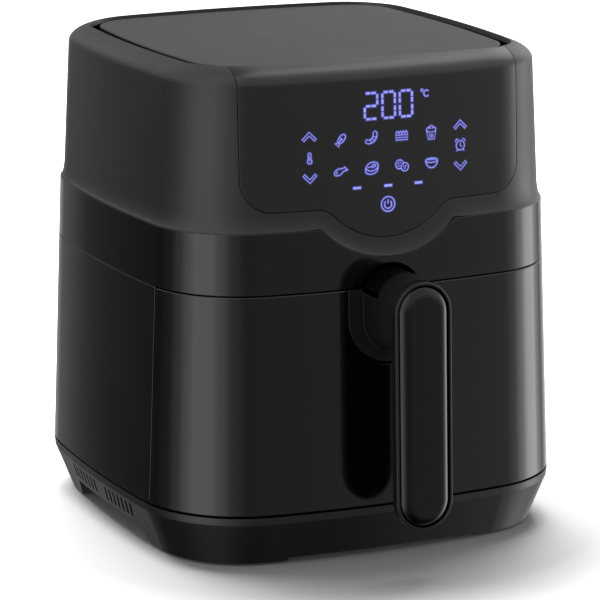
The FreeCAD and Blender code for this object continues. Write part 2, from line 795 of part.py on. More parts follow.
def board_spacers():
    spacers = []
    for x in (-70.0, 55.0):
        for z in (83.0, 147.0):
            spacers.append(rod_y(3.5, CHAMBER[1] - 2.5, 112.0, x, z).cut(chamber_block()))
    return spacers


SWITCH_X = 113.0
SWITCH_Z = 60.0
PLUNGER_R = 1.5
PLUNGER_Y = (-105.2, -68.0)


def safety_switch():
    """Micro switch behind the bulkhead, worked by the closing drawer."""
    body = box(111.6, 123.0, -74.8, -60.0, SWITCH_Z - 9, SWITCH_Z + 6)
    body = body.cut(rod_y(PLUNGER_R + 0.05, -80, -66.0, SWITCH_X, SWITCH_Z))
    terminals = [box(117, 117.8, -60.5, -54.0, SWITCH_Z + dz, SWITCH_Z + dz + 4) for dz in (-7, 0)]
    return body.fuse(terminals)


def switch_plunger():
    return rod_y(PLUNGER_R, PLUNGER_Y[0], PLUNGER_Y[1], SWITCH_X, SWITCH_Z)


# ---------------------------------------------------------------- drawer


def drawer_front():
    z0 = SEAM_Z
    z1 = DRAWER_Z - SEAM_GAP
    half_space = box(-REACH, REACH, -REACH, DRAWER_BACK_Y, 0, REACH)
    outer = body_block(z0, z1).common(half_space)
    core = body_block(z0 + SKIN, z1 - SKIN, SKIN)
    open_back = body_block(z0 - 1, z1 + 1, SKIN).common(box(-REACH, REACH, -105.0, 0, 0, REACH))
    shell = outer.cut(core).cut(open_back)
    return shell.cut(collar_prism(-0.4, -REACH, -119.0))


def drawer_backing():
    inside = body_block(SEAM_Z + SKIN + 0.1, DRAWER_Z - SEAM_GAP - SKIN - 0.1, SKIN + 0.2)
    plate = inside.common(box(-REACH, REACH, -108.0, -105.5, 0, REACH))
    for x, z in POT_SCREW:
        plate = plate.cut(rod_y(2.0, -REACH, 0, x, z))
    return plate


POT_SCREW = ((-36.0, 72.0), (36.0, 72.0), (-36.0, 118.0), (36.0, 118.0))


def pot_block(inset, z0, z1):
    """Tapered pot shape, inset by that much; z0 sets the bottom."""
    low, high = POT_Z
    wires = []
    for z in (z0, z1):
        share = (high - z) / (high - low)
        wires.append(outline(POT, z, -POT_TAPER * share - inset))
    block = Part.makeLoft(wires, True, True)
    bottom = [e for e in block.Edges if e.BoundBox.ZMax < z0 + 0.01]
    return block.makeFillet(9.0 - inset, bottom)


def pot():
    low, high = POT_Z
    flange = slab(POT, high - 1.2, high, 2.6)
    shell = pot_block(0.0, low, high).fuse(flange)
    return shell.cut(pot_block(POT_WALL, low + POT_WALL, high + 5))


def pot_bracket():
    """Steel angle that joins the pot to the drawer front."""
    plate = box(-50, 50, -105.5, -104.0, 60, 130)
    arms = [box(-50, -48.5, -104.5, -92, 60, 130), box(48.5, 50, -104.5, -92, 60, 130)]
    bracket = plate.fuse(arms).cut(pot_block(0.0, *POT_Z))
    for x, z in POT_SCREW:
        bracket = bracket.cut(rod_y(2.0, -REACH, 0, x, z))
    return bracket


def pot_screws():
    return [screw_y(x, z, -104.0, 4.0, 2.2, 2.0, 9.0) for x, z in POT_SCREW]


def tilt(shape):
    """Lean a handle piece back with the front of the body."""
    lean = -math.degrees(math.atan(DRAFT))
    shape.rotate(V(0, 0, 0), V(1, 0, 0), lean)
    shape.translate(V(0, GRIP_Y, SEAM_Z))
    return shape


GRIP_LOW = GRIP_Z[0] - SEAM_Z + GRIP_R
GRIP_HIGH = GRIP_Z[1] - SEAM_Z - GRIP_R
GRIP_SPLIT = 5.0
GRIP_SCREW_Z = (24.0, 60.0)


def grip_frame():
    """Front half of the grip, with a recess for the inlay."""
    body = pill(GRIP_R, GRIP_LOW, GRIP_HIGH, 0.0, GRIP_SPLIT)
    front = [e for e in body.Edges if e.BoundBox.YMax < 0.01]
    body = body.makeFillet(0.8, front)
    body = body.cut(pill(GRIP_R - 2.5, GRIP_LOW, GRIP_HIGH, -1.0, 3.0))
    for z in GRIP_SCREW_Z:
        body = body.cut(rod_y(1.3, 3.4, 20.0, 0.0, z))
    return tilt(body)


def grip_inlay():
    inlay = pill(GRIP_R - 2.8, GRIP_LOW, GRIP_HIGH, 0.2, 3.0)
    front = [e for e in inlay.Edges if e.BoundBox.YMax < 0.21]
    return tilt(inlay.makeFillet(1.6, front))


def grip_back():
    body = pill(GRIP_R, GRIP_LOW, GRIP_HIGH, GRIP_SPLIT, GRIP_DEPTH)
    rear = [e for e in body.Edges if e.BoundBox.YMin > GRIP_DEPTH - 0.01]
    body = body.makeFillet(4.0, rear)
    for z in GRIP_SCREW_Z:
        body = body.cut(rod_y(1.6, 0.0, 20.0, 0.0, z))
        body = body.cut(rod_y(3.4, GRIP_DEPTH - 3.0, 20.0, 0.0, z))
    return tilt(body)


def grip_screws():
    screws = []
    for z in GRIP_SCREW_Z:
        screws.append(tilt(screw_y(0.0, z, GRIP_DEPTH - 3.0, 3.0, 1.8, 1.25, 4.9)))
    return screws


FLANGE_SCREW = ((-31.5, 150.0), (31.5, 150.0), (-24.0, 124.0), (24.0, 124.0))


def handle_base(back):
    """Collar in the drawer front with the neck that carries the grip."""
    z1 = DRAWER_Z - SEAM_GAP
    solid = body_block(SEAM_Z, z1)
    collar = solid.common(collar_prism(0.0, -REACH, -119.0)).cut(body_block(SEAM_Z - 1, z1 + 1, 5.0))
    roof = solid.common(collar_prism(0.0, -REACH, -119.5)).cut(box(-REACH, REACH, -REACH, 0, 0, z1 - SKIN))
    inner = body_block(SEAM_Z, z1 - SKIN - 0.2, SKIN + 0.1).cut(body_block(0, REACH, SKIN + 2.6))
    flange = inner.common(collar_prism(-9.0, -REACH, -110.0))
    neck = pill(NECK_R, NECK_Z[0], NECK_Z[1], -178.0, -130.0)
    whole = collar.fuse([roof, flange, neck, box(-10, 10, -147, -130, 136, 155)])
    whole = whole.cut(box(-REACH, REACH, BUTTON_Y[0] - 0.3, 0, z1 - BUTTON_TRAVEL + 0.2, REACH))
    whole = whole.cut(box(-8.3, 8.3, -145.3, -132.7, 140.0, REACH))
    grip_space = tilt(pill(GRIP_R + 3, GRIP_LOW, GRIP_HIGH, -10.0, GRIP_DEPTH - 0.01))
    whole = whole.cut(grip_space).cut(back)
    for x, z in FLANGE_SCREW:
        whole = whole.cut(rod_y(1.5, -REACH, 0, x, z))
    return whole


def handle_screws():
    screws = []
    for x, z in FLANGE_SCREW:
        bow = FRONT_R - math.sqrt(FRONT_R ** 2 - x ** 2)
        face = -(HALF_D + body_off(z)) + bow + SKIN + 2.9
        screws.append(screw_y(x, z, face, 3.0, 2.0, 1.4, 4.6))
    return screws


def release_button():
    """Half round key on the neck; its stem runs in the neck."""
    y0, y1 = BUTTON_Y
    cap = pill(NECK_R - 0.2, NECK_Z[0], NECK_Z[1], y0, y1)
    cap = cap.cut(box(-REACH, REACH, -REACH, REACH, 0, DRAWER_Z))
    stem = box(-8.0, 8.0, -145.0, -133.0, 152.0, DRAWER_Z + 1)
    return cap.fuse(stem)


def button_spring():
    """Coil spring under the stem of the button."""
    turns = 5
    wire = 0.5
    pitch = 2.1
    helix = Part.makeHelix(pitch, pitch * turns, 4.0)
    helix.translate(V(0, -139.0, 140.6))
    start = V(4.0, -139.0, 140.6)
    profile = Part.Wire(Part.makeCircle(wire, start, V(0, 1, 0)))
    return Part.Wire(helix).makePipeShell([profile], True, True)


# ---------------------------------------------------------------- crisper plate

TRAY_Z = (54.0, 55.5)
TRAY_GAP = 2.2
LEG_XY = (60.0, 58.0)


def tray_off(z):
    low, high = POT_Z
    return -POT_TAPER * (high - z) / (high - low) - POT_WALL


def crisper_plate():
    z0, z1 = TRAY_Z
    off = tray_off(z0) - TRAY_GAP
    plate = slab(POT, z0, z1, off)
    rim = slab(POT, z1 - 6.0, z1, off).cut(slab(POT, 0, REACH, off - 1.2))
    plate = plate.fuse(rim)
    holes = []
    count = 9
    pitch = 17.0
    for i in range(count):
        for j in range(count):
            x = (i - (count - 1) / 2) * pitch
            y = (j - (count - 1) / 2) * pitch
            if abs(x) + abs(y) < 118 and not (abs(x) < 1 and abs(y) < 1):
                holes.append(rod(4.5, z0 - 1, z1 + 1, x, y))
    plate = plate.cut(Part.makeCompound(holes))
    legs = [rod(3.0, POT_Z[0] + POT_WALL + 0.3, z0 + 0.5, x + 8.5, y + 8.5) for x, y in four(*LEG_XY)]
    return plate.fuse(legs).cut(bumper_slots())


def bumper_slots():
    half_w = POT[0] + tray_off(TRAY_Z[0]) - TRAY_GAP
    half_d = POT[1] + tray_off(TRAY_Z[0]) - TRAY_GAP
    slots = [box(x - 4, x + 4, -6, 6, 40, 70) for x in (-half_w, half_w)]
    slots += [box(-6, 6, y - 4, y + 4, 40, 70) for y in (-half_d, half_d)]
    return slots[0].fuse(slots[1:])


def tray_bumpers(plate):
    """Soft blocks at the middle of each side, which hold the plate in the pot."""
    half_w = POT[0] + tray_off(TRAY_Z[0]) - 0.4
    half_d = POT[1] + tray_off(TRAY_Z[0]) - 0.4
    blocks = []
    for side in (-1, 1):
        x0 = min(side * half_w, side * (half_w - 7.0))
        blocks.append(box(x0, x0 + 7.0, -5.8, 5.8, 51.0, 58.0))
        y0 = min(side * half_d, side * (half_d - 7.0))
        blocks.append(box(-5.8, 5.8, y0, y0 + 7.0, 51.0, 58.0))
    limit = slab(POT, 50, 60, tray_off(51.0) - 0.4)
    return [b.common(limit).cut(plate) for b in blocks]


# ---------------------------------------------------------------- assembly


def build_outer():
    node("base", base())
    node("rubber_feet", *rubber_feet())
    node("base_screws", *base_screws())
    node("lower_shell", lower_shell())
    node("front_frame", front_frame())
    node("belt", belt())
    node("rear_cover", rear_cover())
    node("cord_gland", cord_gland())
    shell = housing_shell()
    node("upper_housing", upper_housing(shell))
    node("top_plate", top_plate())
    node("control_panel", control_panel(shell))
    node("display_board", display_board())
    node("display_module", display_module())
    node("touch_springs", *touch_springs())
    node("board_screws", *board_screws())


def build_inside():
    node("chamber", chamber())
    node("drawer_rails", *drawer_rails())
    dish = node("heat_reflector", heat_reflector())
    element = node("heating_element", heating_element())
    node("element_clips", *element_clips(element, dish))
    node("fan_guard", fan_guard())
    node("temperature_sensor", temperature_sensor())
    node("thermal_cutout", thermal_cutout())
    node("motor_bushes", *motor_bushes())
    node("motor_bracket", motor_bracket())
    node("motor_screws", *motor_screws())
    node("motor", motor())
    node("motor_shaft", motor_shaft())
    node("hot_fan", hub_fan(HOT_FAN, 10, False))
    node("cooling_fan", hub_fan(COOLING_FAN, 8, True))
    node("fan_nut", fan_nut())
    node("exhaust_duct", exhaust_duct())
    node("power_board", power_board())
    node("board_spacers", *board_spacers())
    node("safety_switch", safety_switch())
    node("switch_plunger", switch_plunger())


def build_drawer():
    screws = handle_screws()
    node("drawer_front", drawer_front().cut(Part.makeCompound(screws)))
    node("drawer_backing", drawer_backing())
    node("pot", pot())
    node("pot_bracket", pot_bracket())
    node("pot_screws", *pot_screws())
    node("grip_frame", grip_frame())
    node("grip_inlay", grip_inlay())
    back = node("grip_back", grip_back())
    node("grip_screws", *grip_screws())
    node("handle_base", handle_base(back))
    node("handle_screws", *screws)
    node("release_button", release_button())
    node("button_spring", button_spring())
    plate = node("crisper_plate", crisper_plate())
    node("tray_bumpers", *tray_bumpers(plate))


def write_parts():
    os.makedirs("parts", exist_ok=True)
    for name, shape in NODES.items():
        shape = shape.translated(V(0, -ORIGIN_Y, 0))
        solids = shape.Solids
        state = "ok" if shape.isValid() and solids else "BAD"
        box_ = shape.BoundBox
        low = (round(box_.XMin, 1), round(box_.YMin, 1), round(box_.ZMin, 1))
        high = (round(box_.XMax, 1), round(box_.YMax, 1), round(box_.ZMax, 1))
        print(name, state, len(solids), round(shape.Volume), low, high)
        shape.exportStep("parts/" + name + ".step")


build_outer()
build_inside()
build_drawer()
write_parts()
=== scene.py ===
import json
import math

import bpy
import numpy as np
from mathutils import Matrix, Vector
from mathutils.geometry import delaunay_2d_cdt


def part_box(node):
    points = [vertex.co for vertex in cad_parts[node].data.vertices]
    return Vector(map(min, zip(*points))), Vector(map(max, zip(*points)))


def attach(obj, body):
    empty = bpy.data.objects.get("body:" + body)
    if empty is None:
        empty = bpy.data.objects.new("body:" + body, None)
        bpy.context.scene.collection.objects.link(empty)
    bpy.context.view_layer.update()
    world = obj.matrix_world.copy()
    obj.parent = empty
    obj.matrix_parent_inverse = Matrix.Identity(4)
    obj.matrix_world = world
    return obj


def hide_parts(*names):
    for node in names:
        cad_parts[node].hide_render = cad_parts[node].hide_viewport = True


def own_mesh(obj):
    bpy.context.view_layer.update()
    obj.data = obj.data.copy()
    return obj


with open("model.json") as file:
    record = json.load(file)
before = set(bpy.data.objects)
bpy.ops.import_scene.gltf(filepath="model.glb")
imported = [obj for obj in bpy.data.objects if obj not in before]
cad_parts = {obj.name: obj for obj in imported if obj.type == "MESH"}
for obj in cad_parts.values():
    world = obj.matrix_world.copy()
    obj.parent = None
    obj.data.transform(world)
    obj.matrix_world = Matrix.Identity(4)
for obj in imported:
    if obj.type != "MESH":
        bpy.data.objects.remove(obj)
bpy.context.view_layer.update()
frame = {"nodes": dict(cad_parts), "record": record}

MM = 0.001

# ---------------------------------------------------------------- driving dimensions, millimetres
# The shapes are drawn about the middle of the body, which is the middle of the base.

BASE_LOW, BASE_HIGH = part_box("base")
BODY_Y = 0.5 * (BASE_LOW.y + BASE_HIGH.y) / MM
HALF_W = 135.0
HALF_D = 137.1
FRONT_R = 580.0
SIDE_R = 820.0
CORNER_R = 64.6
DRAFT = 0.037

SEAM_Z = 33.0
DRAWER_Z = 164.4
BELT_Z = 200.8
SHOULDER_Z = 284.8
APEX_Z = 296.27
SKIN = 3.0
GAP = 0.35
RETURN = (0.4, 3.2)

HOUSING_STEP = 2.3
HOUSING_DRAFT = 0.013
ROUND_W = 24.9
COVE_H = 11.0
LIP = (109.0, 108.7, 34.0)
PLATE = (102.2, 104.4, 29.7)
LEDGE_Z = 287.5
GUTTER_Z = 293.2
PLATE_EDGE = 1.0
PLATE_SKIRT = 3.0
PLATE_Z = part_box("top_plate")[1].z / MM

PANEL_HALF_W = 89.9
PANEL_Z = 211.5
PANEL_CORNER = 19.0
BULGE_R = 48.0
BULGE_C = 240.8
BULGE_FILLET = 14.0
BELT_LIP = 10.5

BACKING_Y = -105.2
DRAWER_BACK_Y = -78.5
GRIP_R = 18.0
GRIP_Y = -182.75
GRIP_DEPTH = 11.5
GRIP_LOW = 13.5
GRIP_HIGH = 124.3
NECK_R = 17.5
NECK_Z = (145.0, 158.0)
NECK_EDGE = 0.25
PILLOW_R = 8.5
PILLOW_START = 2.05
PILLOW_STEEP = math.radians(58)
RIM_BACK = 2.5
RIM_EDGE = 1.0
FLARE = 0.45
FLARE_LOW = 6.0
COLLAR_R = 27.5
COLLAR_Z = 146.0
COLLAR_EDGE = 0.6
COLLAR_DEEP = 5.0
NOTCH_R = 20.0
BUTTON_Y = (-149.0, -122.0)
BUTTON_TRAVEL = 2.5
SPRING_Y = -139.0
SPRING_Z = 140.6
SPRING_R = 4.0
SPRING_PITCH = 2.1
SPRING_TURNS = 5
SPRING_WIRE = 0.5
EXHAUST = (56.0, 169.0, 197.0)
INK_SUNK = 0.15


# ---------------------------------------------------------------- the outline seen from above


class Plan:
    """Closed outline of tangent arcs, walked by the direction psi that its outward normal points.

    psi is 0 at the middle of the front and grows towards the right."""

    def __init__(self, half_w, half_d, corner, front_r=FRONT_R, side_r=SIDE_R):
        a = front_r - corner
        b = side_r - corner
        fx, fy = 0.0, front_r - half_d
        sx, sy = half_w - side_r, 0.0
        span = math.hypot(fx - sx, fy - sy)
        along = (b * b - a * a + span * span) / (2 * span)
        height = math.sqrt(b * b - along * along)
        ux, uy = (fx - sx) / span, (fy - sy) / span
        cx = sx + along * ux + height * uy
        cy = sy + along * uy - height * ux
        self.tf = math.atan2(cx - fx, fy - cy)
        self.ts = math.atan2(sy - cy, cx - sx)
        self.centres = np.array([(fx, fy), (cx, cy), (sx, sy)])
        self.radii = np.array([front_r, corner, side_r])
        self.turn = math.pi / 2 - self.ts
        knots = np.array([0.0, self.tf, self.turn, math.pi / 2])
        steps = np.diff(knots) * self.radii
        quarter = np.concatenate([[0.0], np.cumsum(steps)])
        self.quarter = quarter[-1]
        self.length = 4 * self.quarter
        half_psi = np.concatenate([knots, math.pi - knots[-2::-1]])
        half_u = np.concatenate([quarter, 2 * self.quarter - quarter[-2::-1]])
        self.knots_psi = np.concatenate([-half_psi[:0:-1], half_psi])
        self.knots_u = np.concatenate([-half_u[:0:-1], half_u])

    def psi(self, u):
        half = self.length / 2
        return np.interp((u + half) % self.length - half, self.knots_u, self.knots_psi)

    def u(self, psi):
        return np.interp(psi, self.knots_psi, self.knots_u)

    def at(self, psi, off):
        p = np.asarray(psi, float)
        a = np.abs(p)
        back = a > math.pi / 2
        q = np.where(back, math.pi - a, a)
        arc = np.where(q <= self.tf, 0, np.where(q < self.turn, 1, 2))
        c = self.centres[arc]
        r = self.radii[arc] + off
        x = c[..., 0] + r * np.sin(q)
        y = c[..., 1] - r * np.cos(q)
        return np.where(p < 0, -x, x), np.where(back, -y, y)

    def psi_at_x(self, x, off):
        """Where the front half of the outline, offset by off, is at this x."""
        s = np.abs(x)
        front = np.clip(s / (self.radii[0] + off), -1, 1)
        corner = np.clip((s - self.centres[1][0]) / (self.radii[1] + off), -1, 1)
        on_front = s <= (self.radii[0] + off) * math.sin(self.tf)
        return np.sign(x) * np.where(on_front, np.arcsin(front), np.arcsin(corner))

    def psi_at_y(self, y, off):
        """Where the right front corner, offset by off, is at this y."""
        share = np.clip((self.centres[1][1] - y) / (self.radii[1] + off), -1, 1)
        return np.arccos(share)

    def outside(self, x, y):
        """How far a point lies outside the outline."""
        px = np.abs(x)
        py = -np.abs(y)
        c = self.centres
        on_front = np.arctan2(px - c[0][0], c[0][1] - py) <= self.tf
        on_side = np.arctan2(c[2][1] - py, px - c[2][0]) <= self.ts
        d = [np.hypot(px - c[i][0], py - c[i][1]) - self.radii[i] for i in range(3)]
        return np.where(on_front, d[0], np.where(on_side, d[2], d[1]))


BODY = Plan(HALF_W, HALF_D, CORNER_R)
LIP_PLAN = Plan(*LIP)
HALF_LENGTH = BODY.length / 2


# ---------------------------------------------------------------- the body's surfaces


def body_off(z):
    return -DRAFT * (z - SEAM_Z)


def belt_distance(x, z, front):
    """How far a point of the front is above the belt's upper edge."""
    flat = z - BELT_Z
    round_ = BULGE_R + BELT_LIP - np.hypot(x, z - BULGE_C)
    blend = 4.0
    smooth = 0.5 * (flat + round_ + np.hypot(flat - round_, blend)) - 0.5
    return np.where(front, np.maximum(np.maximum(flat, round_), np.minimum(smooth, flat + 30)), flat)


def lower_profile(u, v):
    return v, body_off(v)


def shoulder_table(count=60):
    """Height and offset along the rounded shoulder, by distance from its start."""
    a = np.linspace(0, math.pi / 2, count)
    z = SHOULDER_Z + (APEX_Z - SHOULDER_Z) * np.sin(a)
    off = ROUND_W * (np.cos(a) - 1)
    run = np.concatenate([[0], np.cumsum(np.hypot(np.diff(z), np.diff(off)))])
    return SHOULDER_Z + run, z, off


SHOULDER_V, SHOULDER_ZS, SHOULDER_OFF = shoulder_table()


def housing_off(z):
    return body_off(z) - HOUSING_STEP - HOUSING_DRAFT * (z - BELT_Z)


def upper_profile(u, v):
    z = np.where(v < SHOULDER_Z, v, np.interp(v, SHOULDER_V, SHOULDER_ZS))
    extra = np.interp(v, SHOULDER_V, SHOULDER_OFF)
    off = housing_off(np.minimum(v, SHOULDER_Z)) + extra
    psi = BODY.psi(u)
    x = BODY.at(psi, off)[0]
    above = belt_distance(x, z, np.abs(psi) < math.pi / 2)
    t = np.clip(above / COVE_H, 0, 1)
    cove = HOUSING_STEP * (1 - np.sqrt(np.clip(1 - (1 - t) ** 2, 0, 1)))
    return z, off + cove


class Surface:
    """Maps (u, v) on an unrolled wall of the body to space."""

    def __init__(self, profile):
        self.profile = profile

    def at(self, u, v):
        z, off = self.profile(u, v)
        x, y = BODY.at(BODY.psi(u), off)
        return np.stack([x, y, z], -1)

    def tangents(self, u, v, step=0.04):
        du = self.at(u + step, v) - self.at(u - step, v)
        dv = self.at(u, v + step) - self.at(u, v - step)
        return unit(du), unit(dv)

    def on(self, uv):
        """Points and outward normals of the surface at rows of (u, v)."""
        du, dv = self.tangents(uv[:, 0], uv[:, 1])
        return self.at(uv[:, 0], uv[:, 1]), unit(np.cross(du, dv))

    def u_at_x(self, x, v):
        off = self.profile(np.zeros_like(v), v)[1]
        for _ in range(3):
            u = BODY.u(BODY.psi_at_x(x, off))
            off = self.profile(u, v)[1]
        return BODY.u(BODY.psi_at_x(x, off))

    def u_at_y(self, y, v):
        off = self.profile(np.full_like(v, HALF_LENGTH / 2), v)[1]
        return BODY.u(BODY.psi_at_y(y, off))


LOWER = Surface(lower_profile)
UPPER = Surface(upper_profile)


def unit(a):
    return a / np.maximum(np.linalg.norm(a, axis=-1, keepdims=True), 1e-12)


# ---------------------------------------------------------------- outlines in the unrolled wall


def spread(low, high, step):
    """Even values from low to high, about step apart."""
    return np.linspace(low, high, max(2, int(round((high - low) / step)) + 1))


def spreads(low, *stretches):
    """Values from low on, through stretches that are each (end, step)."""
    values = [low]
    for high, step in stretches:
        values += list(spread(values[-1], high, step))[1:]
    return np.array(values)


def polyline(points, step=3.0):
    """Straight runs between the points, divided about every step."""
    out = []
    for p, q in zip(points[:-1], points[1:]):
        n = max(1, int(math.ceil(math.hypot(q[0] - p[0], q[1] - p[1]) / step)))
        for i in range(n):
            t = i / n
            out.append((p[0] + (q[0] - p[0]) * t, p[1] + (q[1] - p[1]) * t))
    out.append(points[-1])
    return out


def arc_points(cx, cz, r, a0, a1, step=1.0):
    """Points on an arc in the X-Z plane, from angle a0 to a1 in degrees."""
    n = max(4, int(abs(math.radians(a1 - a0)) * r / step))
    out = []
    for i in range(n + 1):
        a = math.radians(a0 + (a1 - a0) * i / n)
        out.append((cx + r * math.cos(a), cz + r * math.sin(a)))
    return out


def bulge_points(level, radius, fillet):
    """Bulge hanging from a level edge, with its fillets, from left to right."""
    reach = radius + fillet
    rise = BULGE_C - level + fillet
    fx = math.sqrt(reach * reach - rise * rise)
    lean = math.degrees(math.asin(rise / reach))
    left = arc_points(-fx, level - fillet, fillet, 90, lean, 0.8)
    middle = arc_points(0, BULGE_C, radius, 180 + lean, 360 - lean, 1.5)
    right = arc_points(fx, level - fillet, fillet, 180 - lean, 90, 0.8)
    return left + middle[1:-1] + right


def to_uv(surface, xz):
    a = np.array(xz, float)
    return np.stack([surface.u_at_x(a[:, 0], a[:, 1]), a[:, 1]], -1)


def belt_edge(gap, surface):
    """Upper edge of the belt from the back left round the front to the back right."""
    level = BELT_Z + gap
    front = bulge_points(level, BULGE_R + BELT_LIP - gap, BULGE_FILLET - BELT_LIP + gap)
    uv = to_uv(surface, front)
    left = polyline([(-HALF_LENGTH, level), (uv[0][0], level)])
    right = polyline([(uv[-1][0], level), (HALF_LENGTH, level)])
    return np.array(left[:-1] + [tuple(p) for p in uv] + right[1:])


def lip_v(u):
    """Where the shoulder meets the opening for the lid plate."""
    low = np.full(len(u), SHOULDER_Z)
    high = np.full(len(u), SHOULDER_V[-1] - 0.05)
    for _ in range(40):
        mid = 0.5 * (low + high)
        p = UPPER.at(u, mid)
        out = LIP_PLAN.outside(p[:, 0], p[:, 1]) > 0
        low = np.where(out, mid, low)
        high = np.where(out, high, mid)
    return 0.5 * (low + high)


def panel_edge(gap):
    """Edge of the control panel from the lid opening down the left, round, and up the right."""
    half = PANEL_HALF_W - gap
    level = PANEL_Z + gap
    corner = PANEL_CORNER - gap
    cx, cz = half - corner, level + corner
    bottom = arc_points(-cx, cz, corner, 180, 270, 1.2)
    bulge = bulge_points(level, BULGE_R - gap, BULGE_FILLET + gap)
    bottom += polyline([(-cx, level), bulge[0]])[1:-1] + bulge
    bottom += polyline([bulge[-1], (cx, level)])[1:-1]
    bottom += arc_points(cx, cz, corner, 270, 360, 1.2)
    uv = to_uv(UPPER, bottom)
    v = np.linspace(cz, SHOULDER_V[-1] - 0.1, 60)[1:]
    side_u = UPPER.u_at_x(np.full(len(v), half), v)
    keep = v < lip_v(side_u) - 1.0
    v = v[keep]
    side_u = side_u[keep]
    top_u = side_u[-1:]
    v = np.append(v, lip_v(top_u) - gap)
    side_u = np.append(side_u, top_u)
    left = np.stack([-side_u, v], -1)[::-1]
    right = np.stack([side_u, v], -1)
    return np.concatenate([left, uv, right])


# ---------------------------------------------------------------- meshes


def quarter(radius, steps):
    """Angle, inset and depth along a quarter round, from its side to its face."""
    for k in range(steps + 1):
        a = 0.5 * math.pi * k / steps
        yield a, radius * (1 - math.cos(a)), radius * (1 - math.sin(a))


def inside(points, loop):
    """Which points are within the loop, by the even-odd rule."""
    ahead = np.roll(loop, -1, axis=0)
    rise = ahead[:, 1] - loop[:, 1]
    rise = np.where(np.abs(rise) < 1e-12, 1e-12, rise)
    hits = []
    for part in np.array_split(points, len(points) // 2000 + 1):
        y = part[:, 1:2]
        cross = (loop[:, 1] > y) != (ahead[:, 1] > y)
        x = loop[:, 0] + (y - loop[:, 1]) * (ahead[:, 0] - loop[:, 0]) / rise
        hits.append(np.sum(cross & (x > part[:, 0:1]), axis=1))
    return np.concatenate(hits) % 2 == 1


def clearance(points, loop):
    """Distance from each point to the nearest edge of the loop."""
    d = np.roll(loop, -1, axis=0) - loop
    dd = np.maximum((d * d).sum(1), 1e-12)
    best = []
    for part in np.array_split(points, len(points) // 1000 + 1):
        rel = part[:, None, :] - loop[None]
        t = np.clip((rel * d[None]).sum(-1) / dd, 0, 1)
        gap = rel - t[..., None] * d[None]
        best.append(np.sqrt((gap * gap).sum(-1)).min(1))
    return np.concatenate(best)


def inset_directions(loop, welded):
    """Direction in which each corner of the loop moves as the loop shrinks."""
    d = unit(np.roll(loop, -1, axis=0) - loop)
    normal = np.stack([-d[:, 1], d[:, 0]], -1)
    before = np.roll(normal, 1, axis=0)
    weld_before = np.roll(welded, 1)
    mitre = (normal + before) / np.maximum(1 + (normal * before).sum(1), 0.5)[:, None]
    out = np.where(welded[:, None], before, mitre)
    out = np.where(weld_before[:, None], normal, out)
    return np.where((welded & weld_before)[:, None], 0.0, out)


class Builder:
    """Collects vertices, faces and the normal of each face corner."""

    def __init__(self):
        self.verts = []
        self.faces = []
        self.normals = []
        self.count = 0

    def add(self, points):
        points = np.asarray(points, float).reshape(-1, 3)
        start = self.count
        self.verts.append(points)
        self.count += len(points)
        return np.arange(start, self.count)

    def face(self, ids, normals):
        self.faces.append(tuple(int(i) for i in ids))
        self.normals.extend(tuple(n) for n in normals)

    def strip(self, low, high, low_n, high_n, closed=True, skip=None):
        """Quads between two rows of vertices."""
        n = len(low)
        for i in range(n if closed else n - 1):
            if skip is not None and skip[i]:
                continue
            j = (i + 1) % n
            self.face((low[i], low[j], high[j], high[i]), (low_n[i], low_n[j], high_n[j], high_n[i]))

    def mesh(self, name, merge):
        """Mesh in the row's frame; merge joins vertices that share a place."""
        verts = np.concatenate(self.verts)
        faces = self.faces
        if merge:
            keys = {}
            index = np.zeros(len(verts), int)
            for i, p in enumerate(np.round(verts, 3)):
                index[i] = keys.setdefault(tuple(p), i)
            used = np.unique(index)
            new = np.zeros(len(verts), int)
            new[used] = np.arange(len(used))
            index = new[index]
            verts = verts[used]
            faces = [tuple(int(index[i]) for i in f) for f in faces]
        data = bpy.data.meshes.new(name)
        place = verts + np.array([0.0, BODY_Y, 0.0])
        data.from_pydata((place * MM).tolist(), [], faces)
        data.polygons.foreach_set("use_smooth", [True] * len(data.polygons))
        data.normals_split_custom_set([Vector(n).normalized() for n in self.normals])
        data.update()
        return data


def new_object(name, builder, material, body, replaces=(), merge=False):
    """Object from the builder's mesh, hung on its body, with the CAD parts it replaces hidden."""
    data = builder.mesh(name, merge)
    data.materials.append(MATERIALS[material])
    obj = bpy.data.objects.new(name, data)
    bpy.context.scene.collection.objects.link(obj)
    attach(obj, body)
    if replaces:
        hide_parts(*replaces)
    return obj


def second_material(data, first, last, material):
    """Give a run of faces another material."""
    data.materials.append(MATERIALS[material])
    for k in range(first, last):
        data.polygons[k].material_index = 1


def wall_rim(builder, surface, loop, welded, edge, steps):
    """Rounded edge of a wall along its loop: rows of (vertices, normals), and the inset loop."""
    move = inset_directions(loop, welded)
    du, dv = surface.tangents(loop[:, 0], loop[:, 1])
    inward = unit(du * move[:, 0:1] + dv * move[:, 1:2])
    point, normal = surface.on(loop)
    rows = [(builder.add(point - normal * SKIN), -inward)]
    for a, inset, depth in quarter(edge, steps):
        point, normal = surface.on(loop + move * inset)
        shade = unit(-inward * math.cos(a) + normal * math.sin(a))
        rows.append((builder.add(point - normal * depth), shade))
    for (low, low_n), (high, high_n) in zip(rows[:-1], rows[1:]):
        builder.strip(low, high, low_n, high_n, skip=welded)
    return rows, loop + move * edge


